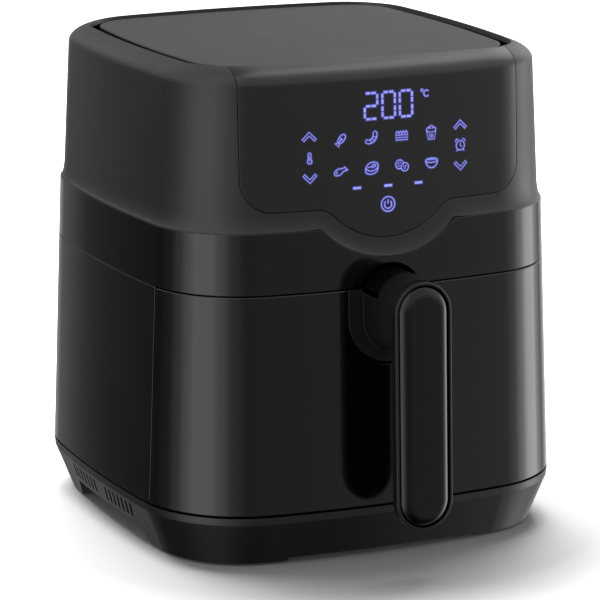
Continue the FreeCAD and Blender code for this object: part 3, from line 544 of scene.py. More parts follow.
def triangles(flat, count):
    """Triangles through all the points and within the loop of the first count."""
    edges = [(i, (i + 1) % count) for i in range(count)]
    out = delaunay_2d_cdt([Vector(p) for p in flat], edges, [], 0, 1e-6, True)
    origin = [ids[0] if ids else -1 for ids in out[3]]
    tris = np.array([[origin[i] for i in f] for f in out[2]])
    tris = tris[(tris >= 0).all(1)]
    tris = tris[inside(flat[tris].mean(1), flat[:count])]
    a, b, c = (flat[tris[:, k]] for k in range(3))
    area = (b[:, 0] - a[:, 0]) * (c[:, 1] - a[:, 1]) - (b[:, 1] - a[:, 1]) * (c[:, 0] - a[:, 0])
    tris[area < 0] = tris[area < 0][:, ::-1]
    return tris


def wall_mesh(builder, surface, loop, us, vs, edge, welded=None, steps=3):
    """Thick wall on a surface, bounded by a loop in (u, v), with rounded outer edges."""
    if welded is None:
        welded = np.zeros(len(loop), bool)
    rows, final = wall_rim(builder, surface, loop, welded, edge, steps)
    grid = np.stack(np.meshgrid(us, vs, indexing="ij"), -1).reshape(-1, 2)
    space = 0.45 * min(np.median(np.diff(us)), np.median(np.diff(vs)))
    grid = grid[inside(grid, final)]
    grid = grid[clearance(grid, final) > space]
    point, normal = surface.on(grid)
    front = np.concatenate([rows[-1][0], builder.add(point)])
    back = np.concatenate([rows[0][0], builder.add(point - normal * SKIN)])
    shade = np.concatenate([surface.on(final)[1], normal])
    for t in triangles(np.concatenate([final, grid]), len(final)):
        builder.face(front[t], shade[t])
        r = t[::-1]
        builder.face(back[r], -shade[r])


def weld_flags(loop):
    """Marks the edges that run along the back seam, where a ring is joined to itself."""
    u = loop[:, 0]
    following = np.roll(u, -1)
    return (np.abs(np.abs(u) - HALF_LENGTH) < 1e-6) & (np.abs(u - following) < 1e-6)


# ---------------------------------------------------------------- materials


def put(tree, sockets, values):
    """Link each named socket to another node's output, or give it a constant."""
    for key, value in values.items():
        if isinstance(value, bpy.types.NodeSocket):
            tree.links.new(value, sockets[key])
        else:
            sockets[key].default_value = value


def node(tree, kind, values=None, **settings):
    """New shader node with its settings and the values of its inputs."""
    made = tree.nodes.new("ShaderNode" + kind)
    for name, value in settings.items():
        setattr(made, name, value)
    put(tree, made.inputs, values or {})
    return made


def new_material(name):
    mat = bpy.data.materials.new(name)
    mat.use_nodes = True
    return mat, mat.node_tree


def finished(mat, values):
    """The material, with these values on its main shader."""
    put(mat.node_tree, mat.node_tree.nodes["Principled BSDF"].inputs, values)
    return mat


def coordinates(tree, scale=(1.0, 1.0, 1.0)):
    coord = node(tree, "TexCoord").outputs["Object"]
    mapping = node(tree, "Mapping", {"Scale": scale, "Vector": coord})
    return mapping.outputs["Vector"]


def noise(tree, vector, scale, detail=3.0, rough=0.5):
    values = {"Scale": scale, "Detail": detail, "Roughness": rough, "Vector": vector}
    return node(tree, "TexNoise", values).outputs["Fac"]


def remap(tree, value, low, high, from_low=0.3, from_high=0.7):
    values = {"From Min": from_low, "From Max": from_high, "To Min": low, "To Max": high, "Value": value}
    return node(tree, "MapRange", values).outputs["Result"]


def maths(tree, kind, *values):
    return node(tree, "Math", dict(enumerate(values)), operation=kind).outputs[0]


def mix_colour(tree, factor, a, b):
    values = {"A": (*a, 1), "B": (*b, 1), "Factor": factor}
    return node(tree, "Mix", values, data_type="RGBA").outputs["Result"]


def bump(tree, height, strength, distance):
    values = {"Strength": strength, "Distance": distance, "Height": height}
    return node(tree, "Bump", values).outputs["Normal"]


def plastic(name, level, blue, rough, grain=1.0, grain_size=0.00035, specular=0.5):
    """Moulded plastic: fine eroded grain, uneven gloss, faint dust and a painted highlight that makes the
    edges slightly paler.
    """
    colour = (level, level, blue)
    mat, tree = new_material(name)
    vector = coordinates(tree)
    broad = noise(tree, vector, 9.0, 4.0)
    fine = noise(tree, vector, 1.0 / grain_size, 2.0, 0.6)
    streak = noise(tree, coordinates(tree, (60.0, 60.0, 6.0)), 3.0, 3.0)
    gloss = remap(tree, broad, rough * 0.88, rough * 1.12)
    # Painted highlight: edges found by pointiness are mixed towards a paler colour.
    edge = remap(tree, node(tree, "NewGeometry").outputs["Pointiness"], 0.0, 0.15, 0.52, 0.62)
    highlit_edges = mix_colour(tree, edge, colour, [min(1.0, c * 1.8 + 0.02) for c in colour])
    dust = mix_colour(tree, remap(tree, broad, 0.0, 1.0), (0.93,) * 3, (1.0,) * 3)
    both = {"A": highlit_edges, "B": dust, "Factor": 1.0}
    return finished(mat, {
        "Base Color": node(tree, "Mix", both, data_type="RGBA", blend_type="MULTIPLY").outputs["Result"],
        "Roughness": maths(tree, "ADD", gloss, remap(tree, streak, -0.015, 0.015)),
        "Normal": bump(tree, fine, 0.12 * grain, 0.00006),
        "Specular IOR Level": specular,
    })


def metal(name, colour, rough, streaks=(140.0, 140.0, 140.0)):
    """Sheet or turned metal with streaks and blotchy gloss."""
    mat, tree = new_material(name)
    streak = noise(tree, coordinates(tree, streaks), 1.0, 4.0)
    blotch = remap(tree, noise(tree, coordinates(tree), 45.0, 4.0), 0.0, 1.0)
    return finished(mat, {
        "Base Color": mix_colour(tree, blotch, [c * 0.82 for c in colour], colour),
        "Roughness": remap(tree, streak, rough * 0.7, rough * 1.35),
        "Normal": bump(tree, streak, 0.1, 0.00004),
        "Metallic": 1.0,
    })


def coated_steel(name, colour, pale):
    """Non-stick coat: dark, satin, with fine pale specks."""
    mat, tree = new_material(name)
    vector = coordinates(tree)
    specks = node(tree, "TexVoronoi", {"Scale": 520.0, "Vector": vector}).outputs["Distance"]
    dots = remap(tree, specks, 1.0, 0.0, 0.05, 0.2)
    rare = remap(tree, noise(tree, vector, 180.0, 2.0), 0.0, 0.6, 0.5, 0.66)
    return finished(mat, {
        "Base Color": mix_colour(tree, maths(tree, "MULTIPLY", dots, rare), colour, pale),
        "Roughness": remap(tree, noise(tree, vector, 30.0), 0.3, 0.42),
        "Normal": bump(tree, noise(tree, vector, 900.0), 0.15, 0.00005),
    })


def glow(name, colour):
    """Lit figures, a little uneven in brightness."""
    mat, tree = new_material(name)
    return finished(mat, {
        "Base Color": (*[c * 0.3 for c in colour], 1),
        "Emission Color": (*colour, 1),
        "Emission Strength": remap(tree, noise(tree, coordinates(tree), 160.0, 1.0), 0.85, 1.1),
        "Roughness": 0.4,
    })


def board_material(name):
    """Circuit board: green mask with copper tracks showing through as paler lines."""
    mat, tree = new_material(name)
    vector = coordinates(tree)
    brick = node(tree, "TexBrick", {
        "Scale": 260.0, "Mortar Size": 0.03, "Vector": vector, "Color1": (0.012, 0.09, 0.04, 1),
        "Color2": (0.016, 0.12, 0.05, 1), "Mortar": (0.03, 0.2, 0.08, 1),
    })
    return finished(mat, {
        "Base Color": brick.outputs["Color"],
        "Roughness": remap(tree, noise(tree, vector, 60.0), 0.3, 0.5),
    })


# Grey of the red and green channels, blue, roughness, and then grain, its size and the specular level.
PLASTICS = {
    "front_plastic": (0.0015, 0.0016, 0.1, 0.25),
    "side_plastic": (0.009, 0.0092, 0.3, 0.6),
    "panel_plastic": (0.0085, 0.0087, 0.22, 0.3),
    "base_plastic": (0.0062, 0.0064, 0.36, 1.4, 0.0006),
    "inner_plastic": (0.006, 0.0062, 0.5, 1.5, 0.0006, 0.25),
    "neck_plastic": (0.0085, 0.0086, 0.45, 0.8, 0.00035, 0.14),
    "grip_plastic": (0.006, 0.0061, 0.4, 0.8, 0.00035, 0.35),
    "inlay_gloss": (0.0008, 0.0009, 0.13, 0.1, 0.00035, 0.36),
    "lid_grey": (0.024, 0.0243, 0.42, 1.0, 0.0004, 0.14),
    "shell_plastic": (0.0018, 0.0019, 0.2, 0.4),
    "housing_plastic": (0.0088, 0.009, 0.42, 0.7),
    # The release button is dark plastic; its near-black tone with almost no gloss is painted shade from the
    # notch.
    "button_plastic": (0.0006, 0.0006, 0.4, 0.5, 0.00035, 0.03),
    "rubber": (0.02, 0.02, 0.75, 2.0, 0.0008),
    "silicone": (0.05, 0.052, 0.6, 0.8),
    "white_plastic": (0.72, 0.7, 0.4, 0.8),
}
BRUSHED = (400.0, 400.0, 12.0)
MATERIALS = {name: plastic(name, *values) for name, values in PLASTICS.items()}
MATERIALS.update({
    "sheet_steel": metal("sheet_steel", (0.52, 0.52, 0.53), 0.34, BRUSHED),
    "screw_steel": metal("screw_steel", (0.62, 0.61, 0.6), 0.25),
    "element_sheath": metal("element_sheath", (0.2, 0.19, 0.18), 0.42),
    "fan_aluminium": metal("fan_aluminium", (0.7, 0.7, 0.71), 0.3, BRUSHED),
    "motor_can": metal("motor_can", (0.12, 0.12, 0.13), 0.45),
    "pot_coating": coated_steel("pot_coating", (0.03, 0.03, 0.032), (0.17, 0.17, 0.165)),
    "circuit_board": board_material("circuit_board"),
    "display_light": glow("display_light", (0.3, 0.31, 0.9)),
    "display_halo": glow("display_halo", (0.028, 0.028, 0.19)),
})


def dress_cad_nodes():
    """Every CAD node takes the material of its slot, and the release button a near-black one with almost no
    gloss, which paints the shade of the notch over the neck.
    """
    slots = {entry["node"]: entry["material_slot"] for entry in frame["record"]["subparts"]}
    # Painted shade: the button stands dark for the shade in the notch over the neck.
    slots["release_button"] = "button_plastic"
    for name, slot in slots.items():
        data = frame["nodes"][name].data
        data.materials.clear()
        data.materials.append(MATERIALS[slot])


# ---------------------------------------------------------------- outer walls


def wall_y(x, z, sink=0.0):
    """Depth of the drawer's front face at a point, sunk by that much."""
    off = body_off(np.array(z)) - sink
    return float(BODY.at(BODY.psi_at_x(np.array(x), off), off)[1])


def pairs(points):
    """Rows of an array or a list, as a list of tuples."""
    return [tuple(p) for p in points]


def make_drawer_front():
    """Front of the drawer, wrapped round both corners, with the U cut-out for the handle."""
    low = SEAM_Z + GAP
    high = DRAWER_Z - GAP - 0.25
    r = COLLAR_R + 0.45
    v = spread(low, high, 3.0)
    u = LOWER.u_at_y(DRAWER_BACK_Y, v)
    bottom = polyline([(-u[0], low), (u[0], low)])[:-1]
    right = list(zip(u, v))[:-1]
    notch = polyline([(r, high), (r, COLLAR_Z)], 2.0)[:-1]
    notch += arc_points(0, COLLAR_Z, r, 0, -180, 1.0)
    notch += polyline([(-r, COLLAR_Z), (-r, high)], 2.0)[1:]
    notch = pairs(to_uv(LOWER, notch))
    top = polyline([(u[-1], high), notch[0]])[:-1] + notch
    top += polyline([notch[-1], (-u[-1], high)])[1:-1]
    left = list(zip(-u[::-1], v[::-1]))[:-1]
    loop = np.array(bottom + right + top + left)
    b = Builder()
    wall_mesh(b, LOWER, loop, spread(-u[0], u[0], 3.0), spread(low, high, 6.0), 0.9, steps=4)
    near, far = RETURN
    split_slab(b, front_edge(high - near, SKIN - 0.1, 60), COLLAR_R + 0.4, high - far, high - near)
    flat_slab(b, front_edge(low + far, SKIN - 0.1, 60), low + near, low + far)
    new_object("drawer_front_shell", b, "front_plastic", "drawer", ["drawer_front"])


def front_edge(z, sink, count):
    """Points of the front outline in front of the backing, sunk by that much, from left to right."""
    x, y = BODY.at(np.linspace(-1.02, 1.02, count), body_off(z) - sink)
    return [p for p in zip(x.tolist(), y.tolist()) if p[1] < BACKING_Y]


def split_slab(b, edge, cut, z0, z1):
    """Slab in two halves, on both sides of a gap that is cut to each side of the middle."""
    xs, ys = zip(*edge)
    for side in (-1, 1):
        part = [p for p in edge if p[0] * side > cut]
        corner = [(side * cut, float(np.interp(side * cut, xs, ys)))]
        flat_slab(b, part + corner if side < 0 else corner + part, z0, z1)


def flat_slab(b, edge, z0, z1):
    """Slab between a front edge and the plane of the backing."""
    outline = edge + [(edge[-1][0], BACKING_Y), (edge[0][0], BACKING_Y)]
    low = b.add([(x, y, z0) for x, y in outline])
    high = b.add([(x, y, z1) for x, y in outline])
    b.face(high, [(0, 0, 1)] * len(outline))
    b.face(low[::-1], [(0, 0, -1)] * len(outline))
    for i, here in enumerate(outline):
        j = (i + 1) % len(outline)
        dx = outline[j][0] - here[0]
        dy = outline[j][1] - here[1]
        b.face((low[i], low[j], high[j], high[i]), [(dy, -dx, 0)] * 4)


def make_lower_shell():
    """Side and back wall in one piece."""
    low = SEAM_Z + GAP
    high = DRAWER_Z - GAP
    v = spread(low, high, 3.0)
    u = LOWER.u_at_y(DRAWER_BACK_Y + 2 * GAP, v)
    far = BODY.length - u
    bottom = polyline([(u[0], low), (far[0], low)])[:-1]
    right = list(zip(far, v))[:-1]
    top = polyline([(far[-1], high), (u[-1], high)])[:-1]
    left = list(zip(u[::-1], v[::-1]))[:-1]
    loop = np.array(bottom + right + top + left)
    b = Builder()
    wall_mesh(b, LOWER, loop, spread(u[0], far[0], 3.0), spread(low, high, 6.0), 0.5)
    new_object("side_shell", b, "shell_plastic", "housing", ["lower_shell"])


def ring_loop(bottom, top, opening=None):
    """Closed loop of a ring cut open at the back seam: bottom left to right, top right to left.

    An opening (half width, low, high) is left out across the seam."""
    right = [(HALF_LENGTH, bottom[-1][1])]
    if opening:
        half, low, high = opening
        inner = HALF_LENGTH - half
        right += [(HALF_LENGTH, low), (inner, low), (inner, high), (HALF_LENGTH, high)]
    right.append((HALF_LENGTH, top[0][1]))
    side = polyline(right)[1:-1]
    back = [(-u, v) for u, v in side[::-1]]
    return np.array(pairs(bottom) + side + pairs(top) + back)


def make_belt():
    """Band round the body, with the notch for the neck and the opening of the exhaust."""
    low = DRAWER_Z
    arch_x = math.sqrt(NOTCH_R ** 2 - (low - NECK_Z[1]) ** 2)
    lean = math.degrees(math.acos(arch_x / NOTCH_R))
    arch = arc_points(0, NECK_Z[1], NOTCH_R, 180 - lean, lean, 0.8)
    uv = pairs(to_uv(LOWER, arch))
    bottom = polyline([(-HALF_LENGTH, low), uv[0]])[:-1] + uv
    bottom += polyline([uv[-1], (HALF_LENGTH, low)])[1:]
    loop = ring_loop(bottom, belt_edge(-GAP, LOWER)[::-1], EXHAUST)
    b = Builder()
    us = spread(-HALF_LENGTH, HALF_LENGTH, 3.0)[1:-1]
    wall_mesh(b, LOWER, loop, us, spread(low, BELT_Z, 4.0), 0.4, weld_flags(loop))
    notch_tunnel(b, arch)
    floor_z = low + 0.3
    split_slab(b, front_edge(floor_z, 1.0, 80), NOTCH_R - 1.0, floor_z, floor_z + 2.4)
    new_object("belt_band", b, "front_plastic", "housing", ["belt"], merge=True)


def notch_tunnel(b, arch):
    """Arched pocket behind the notch, with its back wall."""
    normals = [Vector((-x, 0, NECK_Z[1] - z)).normalized() for x, z in arch]
    front = b.add([(x, wall_y(x, z, SKIN - 0.3), z) for x, z in arch])
    back = b.add([(x, BUTTON_Y[1] + 4.0, z) for x, z in arch])
    b.strip(front, back, normals, normals, closed=False)
    b.face(back, [(0, -1, 0)] * len(back))


def make_upper_housing():
    """Housing round the panel, up to the opening for the lid."""
    panel = panel_edge(0.0)
    u = spread(panel[-1][0], HALF_LENGTH, 2.5)[1:]
    v = lip_v(u)
    top_right = np.stack([u, v], -1)[::-1]
    top_left = np.stack([-u, v], -1)
    loop = ring_loop(belt_edge(0.0, UPPER), np.concatenate([top_right, panel[::-1], top_left]))
    b = Builder()
    us = spread(-HALF_LENGTH, HALF_LENGTH, 2.5)[1:-1]
    vs = spreads(BULGE_C - 60, (BELT_Z, 1.5), (BELT_Z + 12, 1.0),
                 (SHOULDER_Z - 3, 6.0), (SHOULDER_V[-1], 1.2))
    wall_mesh(b, UPPER, loop, us, vs, 0.25, weld_flags(loop))
    shell_faces = len(b.faces)
    gutter(b)
    shell = new_object("upper_housing_shell", b, "housing_plastic",
                       "housing", ["upper_housing"], merge=True)
    # Painted shade: the gutter's wall and ledge take the dark inner plastic, for the shade in the gap round
    # the lid plate.
    second_material(shell.data, shell_faces, len(shell.data.polygons), "inner_plastic")


def plan_row(plan, psi, off, z):
    """Points of an outline, offset by off, at one height."""
    x, y = plan.at(psi, off)
    return np.stack([x, y, np.full(len(psi), z)], -1)


def gutter(b):
    """Upright wall and ledge inside the lid opening."""
    psi = np.linspace(-math.pi, math.pi, 240, endpoint=False)
    brim = b.add(plan_row(LIP_PLAN, psi, 0.4, GUTTER_Z))
    foot = b.add(plan_row(LIP_PLAN, psi, 0.4, LEDGE_Z))
    ledge = b.add(plan_row(Plan(*PLATE), psi, -9.0, LEDGE_Z))
    inward = np.stack([-np.sin(psi), np.cos(psi), np.zeros(len(psi))], -1)
    up = np.tile([0.0, 0.0, 1.0], (len(psi), 1))
    b.strip(foot, brim, inward, inward)
    b.strip(ledge, foot, up, up)


def make_control_panel():
    """Smoked panel, from the lid opening down into the bulge."""
    edge = panel_edge(0.3)
    right_u = edge[-1][0]
    u = spread(-right_u, right_u, 2.5)[1:-1][::-1]
    loop = np.concatenate([edge, np.stack([u, lip_v(u) - 0.3], -1)])
    b = Builder()
    vs = spreads(BULGE_C - 50, (SHOULDER_Z - 3, 5.0), (SHOULDER_V[-1], 1.2))
    wall_mesh(b, UPPER, loop, spread(-right_u - 4, right_u + 4, 3.0), vs, 0.35)
    new_object("control_panel_face", b, "panel_plastic", "housing", ["control_panel"])


def make_top_plate():
    """Lid plate with a soft edge and a short skirt."""
    plan = Plan(*PLATE)
    psi = []
    for k0, k1, n in zip(plan.knots_psi[:-1], plan.knots_psi[1:], [10, 22, 8, 8, 22, 10] * 3):
        psi += list(np.linspace(k0, k1, n, endpoint=False))
    psi = np.array(psi)
    out = np.stack([np.sin(psi), -np.cos(psi), np.zeros(len(psi))], -1)
    up = np.array([0.0, 0.0, 1.0])
    foot = LEDGE_Z + 0.3
    skirt = PLATE_Z - PLATE_SKIRT
    rows = [(-4.0, foot, out), (-2.0, foot, out), (-2.0, skirt, out), (0.0, skirt, out)]
    for a, inset, depth in quarter(PLATE_EDGE, 5):
        rows.append((-inset, PLATE_Z - depth, unit(out * math.cos(a) + up * math.sin(a))))
    b = Builder()
    ids = [(b.add(plan_row(plan, psi, off, z)), normal) for off, z, normal in rows]
    for (low, low_n), (high, high_n) in zip(ids[:-1], ids[1:]):
        b.strip(low, high, low_n, high_n)
    b.face(ids[-1][0], [up] * len(psi))
    b.face(ids[0][0][::-1], [-up] * len(psi))
    plate = new_object("lid_plate", b, "lid_grey", "housing", ["top_plate"])
    # Painted shade: the skirt and the side below the soft edge take the dark inner plastic, for the shade
    # along the plate's edge.
    second_material(plate.data, 0, 4 * len(psi), "inner_plastic")


# ---------------------------------------------------------------- handle

LEAN = Matrix.Rotation(-math.atan(DRAFT), 3, "X")


def pill_points(inset, count=26):
    """Pill outline in the grip's own X-Z plane, anticlockwise seen from the front."""
    r = GRIP_R - inset
    points = []
    for start, z in ((math.pi, GRIP_LOW), (0.0, GRIP_HIGH)):
        for i in range(count + 1):
            a = start + math.pi * i / count
            points.append((r * math.cos(a), z + r * math.sin(a)))
    return points


def away(x, z, low, high):
    """Direction away from the stretch between two heights on the axis x = 0."""
    return Vector((x, 0, z - min(max(z, low), high))).normalized()


def grip_rows(b, rows):
    """Closed piece through pill outlines at (inset, y), first to last.

    The outlines are in the grip's own frame, which leans back with the body."""
    shift = Vector((0, GRIP_Y, SEAM_Z))
    ids = []
    for inset, y in rows:
        ids.append(b.add([tuple(LEAN @ Vector((x, y, z)) + shift) for x, z in pill_points(inset)]))
    radial = [away(x, z, GRIP_LOW, GRIP_HIGH) for x, z in pill_points(0.0)]
    slopes = [math.atan2(y0 - y1, i1 - i0) for (i0, y0), (i1, y1) in zip(rows[:-1], rows[1:])]

    def shade(angle):
        return [LEAN @ (r * math.sin(angle) + Vector((0, -math.cos(angle), 0))) for r in radial]

    for k, angle in enumerate(slopes):
        before = slopes[max(k - 1, 0)]
        after = slopes[min(k + 1, len(slopes) - 1)]
        low = 0.5 * (angle + before) if abs(angle - before) < 0.6 else angle
        high = 0.5 * (angle + after) if abs(angle - after) < 0.6 else angle
        b.strip(ids[k], ids[k + 1], shade(low), shade(high))
    b.face(ids[-1], [LEAN @ Vector((0, -1, 0))] * len(radial))
    b.face(ids[0][::-1], [LEAN @ Vector((0, 1, 0))] * len(radial))


def make_grip():
    """Matt frame of the grip, and the glossy inlay that bulges inside its rim."""
    # The rows are (inset from the grip's outline, depth behind its front).
    b = Builder()
    rows = [(0.5, 6.0), (0.12, 6.0), (0.0, 5.85)]
    rows += [(inset, RIM_BACK + depth) for a, inset, depth in quarter(RIM_EDGE, 5)]
    rows += [(1.45, RIM_BACK), (1.7, RIM_BACK + 0.1), (1.8, RIM_BACK + 0.3), (1.85, 5.2), (6.0, 5.2)]
    grip_rows(b, rows)
    new_object("grip_front_frame", b, "grip_plastic", "drawer", ["grip_frame"])
    b = Builder()
    rows = [(PILLOW_START + 0.4, 5.15), (PILLOW_START, 5.1)]
    rows.append((PILLOW_START, 0.2 + PILLOW_R * (1 - math.cos(PILLOW_STEEP))))
    for k in range(15):
        a = PILLOW_STEEP * (1 - k / 14)
        along = PILLOW_R * (math.sin(PILLOW_STEEP) - math.sin(a))
        rows.append((PILLOW_START + along, 0.1 + PILLOW_R * (1 - math.cos(a))))
    rows.append((13.0, 0.08))
    grip_rows(b, rows)
    new_object("grip_gloss_inlay", b, "inlay_gloss", "drawer", ["grip_inlay"])


def u_points(half, low_z, top_z, extra=0.0, extra_low=0.0):
    """U shape from its left end down, round and up to its right end.

    It is wider by extra at the sides, and by extra_low at the bottom."""
    sides = 8
    count = 32
    left = [(-half - extra, top_z + (low_z - top_z) * i / sides) for i in range(sides)]
    points = []
    for i in range(count + 1):
        a = math.pi + math.pi * i / count
        r = half + extra + (extra_low - extra) * abs(math.sin(a)) ** 3
        points.append((r * math.cos(a), low_z + r * math.sin(a)))
    return left + points + [(-x, z) for x, z in left[::-1]]


def row_normals(rows, k, hard):
    """Normals of a lofted row from its neighbours, or only from the next row where it is hard."""
    ahead = rows[min(k + 1, len(rows) - 1)]
    behind = rows[k] if hard else rows[max(k - 1, 0)]
    return unit(np.cross(np.gradient(rows[k], axis=0), ahead - behind))


def loft(b, rows):
    """Skin over open rows of points, first to last."""
    ids = [b.add(r) for r in rows]
    arrays = [np.array(r) for r in rows]
    for k in range(len(rows) - 1):
        low_n = row_normals(arrays, k, k < 2)
        high_n = row_normals(arrays, k + 1, k == 0)
        b.strip(ids[k], ids[k + 1], low_n, high_n, closed=False)


def make_handle_base():
    """Collar in the drawer front with the neck that comes out of it."""
    b = Builder()
    collar_ring(b)
    neck_root(b)
    neck(b)
    new_object("handle_neck", b, "neck_plastic", "drawer", ["handle_base"])


def on_wall(half, top, sink):
    """U shaped row on the drawer's front face, sunk by that much."""
    return [(x, wall_y(x, z, sink), z) for x, z in u_points(half, COLLAR_Z, top)]


def sunk_row(row):
    """The row moved back into the body."""
    return [(x, y + COLLAR_DEEP, z) for x, y, z in row]


def collar_ring(b):
    """Collar, flush with the drawer front, from its outer edge to the root of the neck."""
    top = DRAWER_Z - 0.6
    outer = COLLAR_R - 0.45
    inner = NECK_R + FLARE + 0.03
    rows = [on_wall(outer, top, COLLAR_DEEP)]
    for a, inset, depth in quarter(COLLAR_EDGE, 3):
        rows.append(on_wall(outer - inset, top, depth))
    root = u_points(inner, NECK_Z[0], top, 0.0, FLARE_LOW - FLARE)
    rows.append([(x, wall_y(x, z), z) for x, z in root])
    loft(b, rows)
    rows.append(sunk_row(rows[-1]))
    loft(b, rows[-2:])
    up = [(0, 0, 1)] * len(rows)
    b.face(b.add([r[0] for r in rows]), up)
    b.face(b.add([r[-1] for r in rows[::-1]]), up)


def neck_root(b):
    """Lower half of the neck, from the collar out; the button moves above it."""
    top = DRAWER_Z - BUTTON_TRAVEL - 0.15
    rows = []
    for a, lift, wide in quarter(1.0, 10):
        ring = []
        for x, z in u_points(NECK_R, NECK_Z[0], top, FLARE * wide, FLARE_LOW * wide):
            share = min(1.0, max(0.0, (NECK_Z[0] - z) / NECK_R)) ** 3
            ring.append((x, wall_y(x, z) - lift * (FLARE + (FLARE_LOW - FLARE) * share), z))
        rows.append(ring)
    rows.insert(0, sunk_row(rows[0]))
    rows.append([(x * 1.001, BUTTON_Y[0] - 0.9, z) for x, y, z in rows[-1]])
    loft(b, rows)
    for low, high in zip(rows[:-1], rows[1:]):
        b.face(b.add([high[-1], high[0], low[0], low[-1]]), [(0, 0, 1)] * 4)
    b.face(b.add(rows[-1][::-1]), [(0, -1, 0)] * len(rows[-1]))


def obround(radius, count=48):
    """Neck section from its lowest point round, as (x, z)."""
    points = []
    for i in range(count):
        a = -math.pi / 2 + 2 * math.pi * i / count
        middle = NECK_Z[1] if math.sin(a) > 0 else NECK_Z[0]
        points.append((radius * math.cos(a), middle + radius * math.sin(a)))
    return points


def neck(b):
    """Full round part of the neck, in front of the button."""
    out = [away(x, z, *NECK_Z) for x, z in obround(NECK_R)]
    back = BUTTON_Y[0] - 0.3
    rows = []
    for a, depth, inset in quarter(NECK_EDGE, 3):
        points = [(x, back - depth, z) for x, z in obround(NECK_R - inset)]
        rows.append((b.add(points), [o * math.sin(a) + Vector((0, math.cos(a), 0)) for o in out]))
    front = [(x, GRIP_Y + GRIP_DEPTH + 1.5, z) for x, z in obround(NECK_R)]
    rows.append((b.add(front), rows[-1][1]))
    for (low, low_n), (high, high_n) in zip(rows[:-1], rows[1:]):
        b.strip(low, high, low_n, high_n)
    b.face(rows[0][0][::-1], [(0, 1, 0)] * len(out))
    b.face(rows[-1][0], [(0, -1, 0)] * len(out))


def make_button_spring():
    """Coil spring under the button's stem, in a mesh of its own."""
    b = Builder()
    rows = []
    per_turn = 20
    sides = 8
    for k in range(SPRING_TURNS * per_turn + 1):
        a = 2 * math.pi * k / per_turn
        radial = Vector((math.cos(a), math.sin(a), 0))
        centre = Vector((0, SPRING_Y, SPRING_Z + SPRING_PITCH * k / per_turn)) + radial * SPRING_R
        angles = [2 * math.pi * i / sides for i in range(sides)]
        out = [radial * math.cos(t) + Vector((0, 0, math.sin(t))) for t in angles]
        rows.append((b.add([centre + n * SPRING_WIRE for n in out])[::-1], out[::-1]))
    for (low, low_n), (high, high_n) in zip(rows[:-1], rows[1:]):
        b.strip(low, high, low_n, high_n)
    b.face(rows[0][0][::-1], [(0, -1, 0)] * sides)
    b.face(rows[-1][0], [(0, 1, 0)] * sides)
    obj = new_object("coil_spring", b, "screw_steel", "drawer", ["button_spring"])
    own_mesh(obj)


# ---------------------------------------------------------------- panel figures
# A figure is a list of strokes, each of them (points, width, closed), about the figure's own middle.

THIN = 0.5
FINE = 0.4


def turned(points, cx, cz, degrees):
    """Points drawn about (0, 0), turned and put at (cx, cz)."""
    c = math.cos(math.radians(degrees))
    s = math.sin(math.radians(degrees))
    return [(cx + x * c - z * s, cz + x * s + z * c) for x, z in points]


def line(points, width=THIN, closed=False):
    return points, width, closed


def bow(cx, cz, rx, rz, a0, a1, degrees=0.0, count=28, width=THIN):
    """Stroke along an ellipse, from angle a0 to a1; the ellipse may be turned."""
    angles = [math.radians(a0 + (a1 - a0) * i / count) for i in range(count + 1)]
    points = turned([(rx * math.cos(a), rz * math.sin(a)) for a in angles], cx, cz, degrees)
    whole = a1 - a0 == 360
    return (points[:-1] if whole else points), width, whole


def ring(cx, cz, rx, rz, degrees=0.0, count=28, width=THIN):
    """Stroke round a whole ellipse."""
    return bow(cx, cz, rx, rz, 0, 360, degrees, count, width)


def number(bars):
    """Seven-bar figure, each bar in two dashes, about the middle of its foot."""
    w, h = 4.0, 15.0
    mid = h / 2
    ends = {
        "a": (-w, h, w, h), "b": (w, h, w, mid), "c": (w, mid, w, 0), "d": (-w, 0, w, 0),
        "e": (-w, mid, -w, 0), "f": (-w, h, -w, mid), "g": (-w, mid, w, mid),
    }
    strokes = []
    for ax, az, bx, bz in (ends[bar] for bar in bars):
        for dash in ((0.1, 0.46), (0.54, 0.9)):
            p, q = ((ax + (bx - ax) * t, az + (bz - az) * t) for t in dash)
            strokes.append(line(polyline([p, q], 1.0), 1.35))
    return strokes


def arrow(up):
    """Outlined arrowhead, with up as 1 or -1."""
    shape = [(-4.4, -1.7), (0, 2.7), (4.4, -1.7), (3.4, -2.7), (0, 0.5), (-3.4, -2.7)]
    return [line([(x, up * z) for x, z in shape], THIN, True)]


DEGREES = [
    ring(0, 0, 0.7, 0.7, count=12, width=0.45),
    bow(3.0, -1.9, 1.8, 1.8, 45, 315, count=24, width=0.6),
]
DASH = [line([(-2.5, 0), (2.5, 0)], 1.4)]
POWER = [
    ring(0, 0.2, 4.3, 4.3, count=77, width=0.6),
    bow(0, 0, 2.3, 2.3, 130, 410, count=32, width=0.6),
    line([(0, 2.9), (0, 0.5)], 0.6),
]
# Nose up to the right.
FISH = [
    ring(0.8, 0.8, 3.1, 1.7, 50),
    line(turned([(-3.0, 0.5), (-4.8, 1.6), (-4.4, 0.0), (-4.8, -1.6), (-3.0, -0.5)], 0.8, 0.8, 50)),
    line(turned([(-1.6, 0.9), (-1.2, 0.0), (-1.6, -0.9)], 1.6, 1.8, 50)),
    line(turned([(-2.0, 0.0), (0.6, 0.0)], 0.4, 0.3, 50)),
]
SHRIMP = [
    bow(-1.6, 2.0, 5.2, 5.2, -95, 15),
    bow(-1.8, 2.0, 3.0, 3.0, -95, 15),
    line([(-2.2, -3.2), (-3.8, -2.4), (-3.4, -0.8), (-2.0, -1.0)]),
    line([(3.5, 3.2), (2.3, 4.0), (1.2, 3.0)]),
] + [line(turned([(3.2, 0), (5.0, 0)], -1.7, 2.0, a), FINE) for a in (-70, -45, -20)]
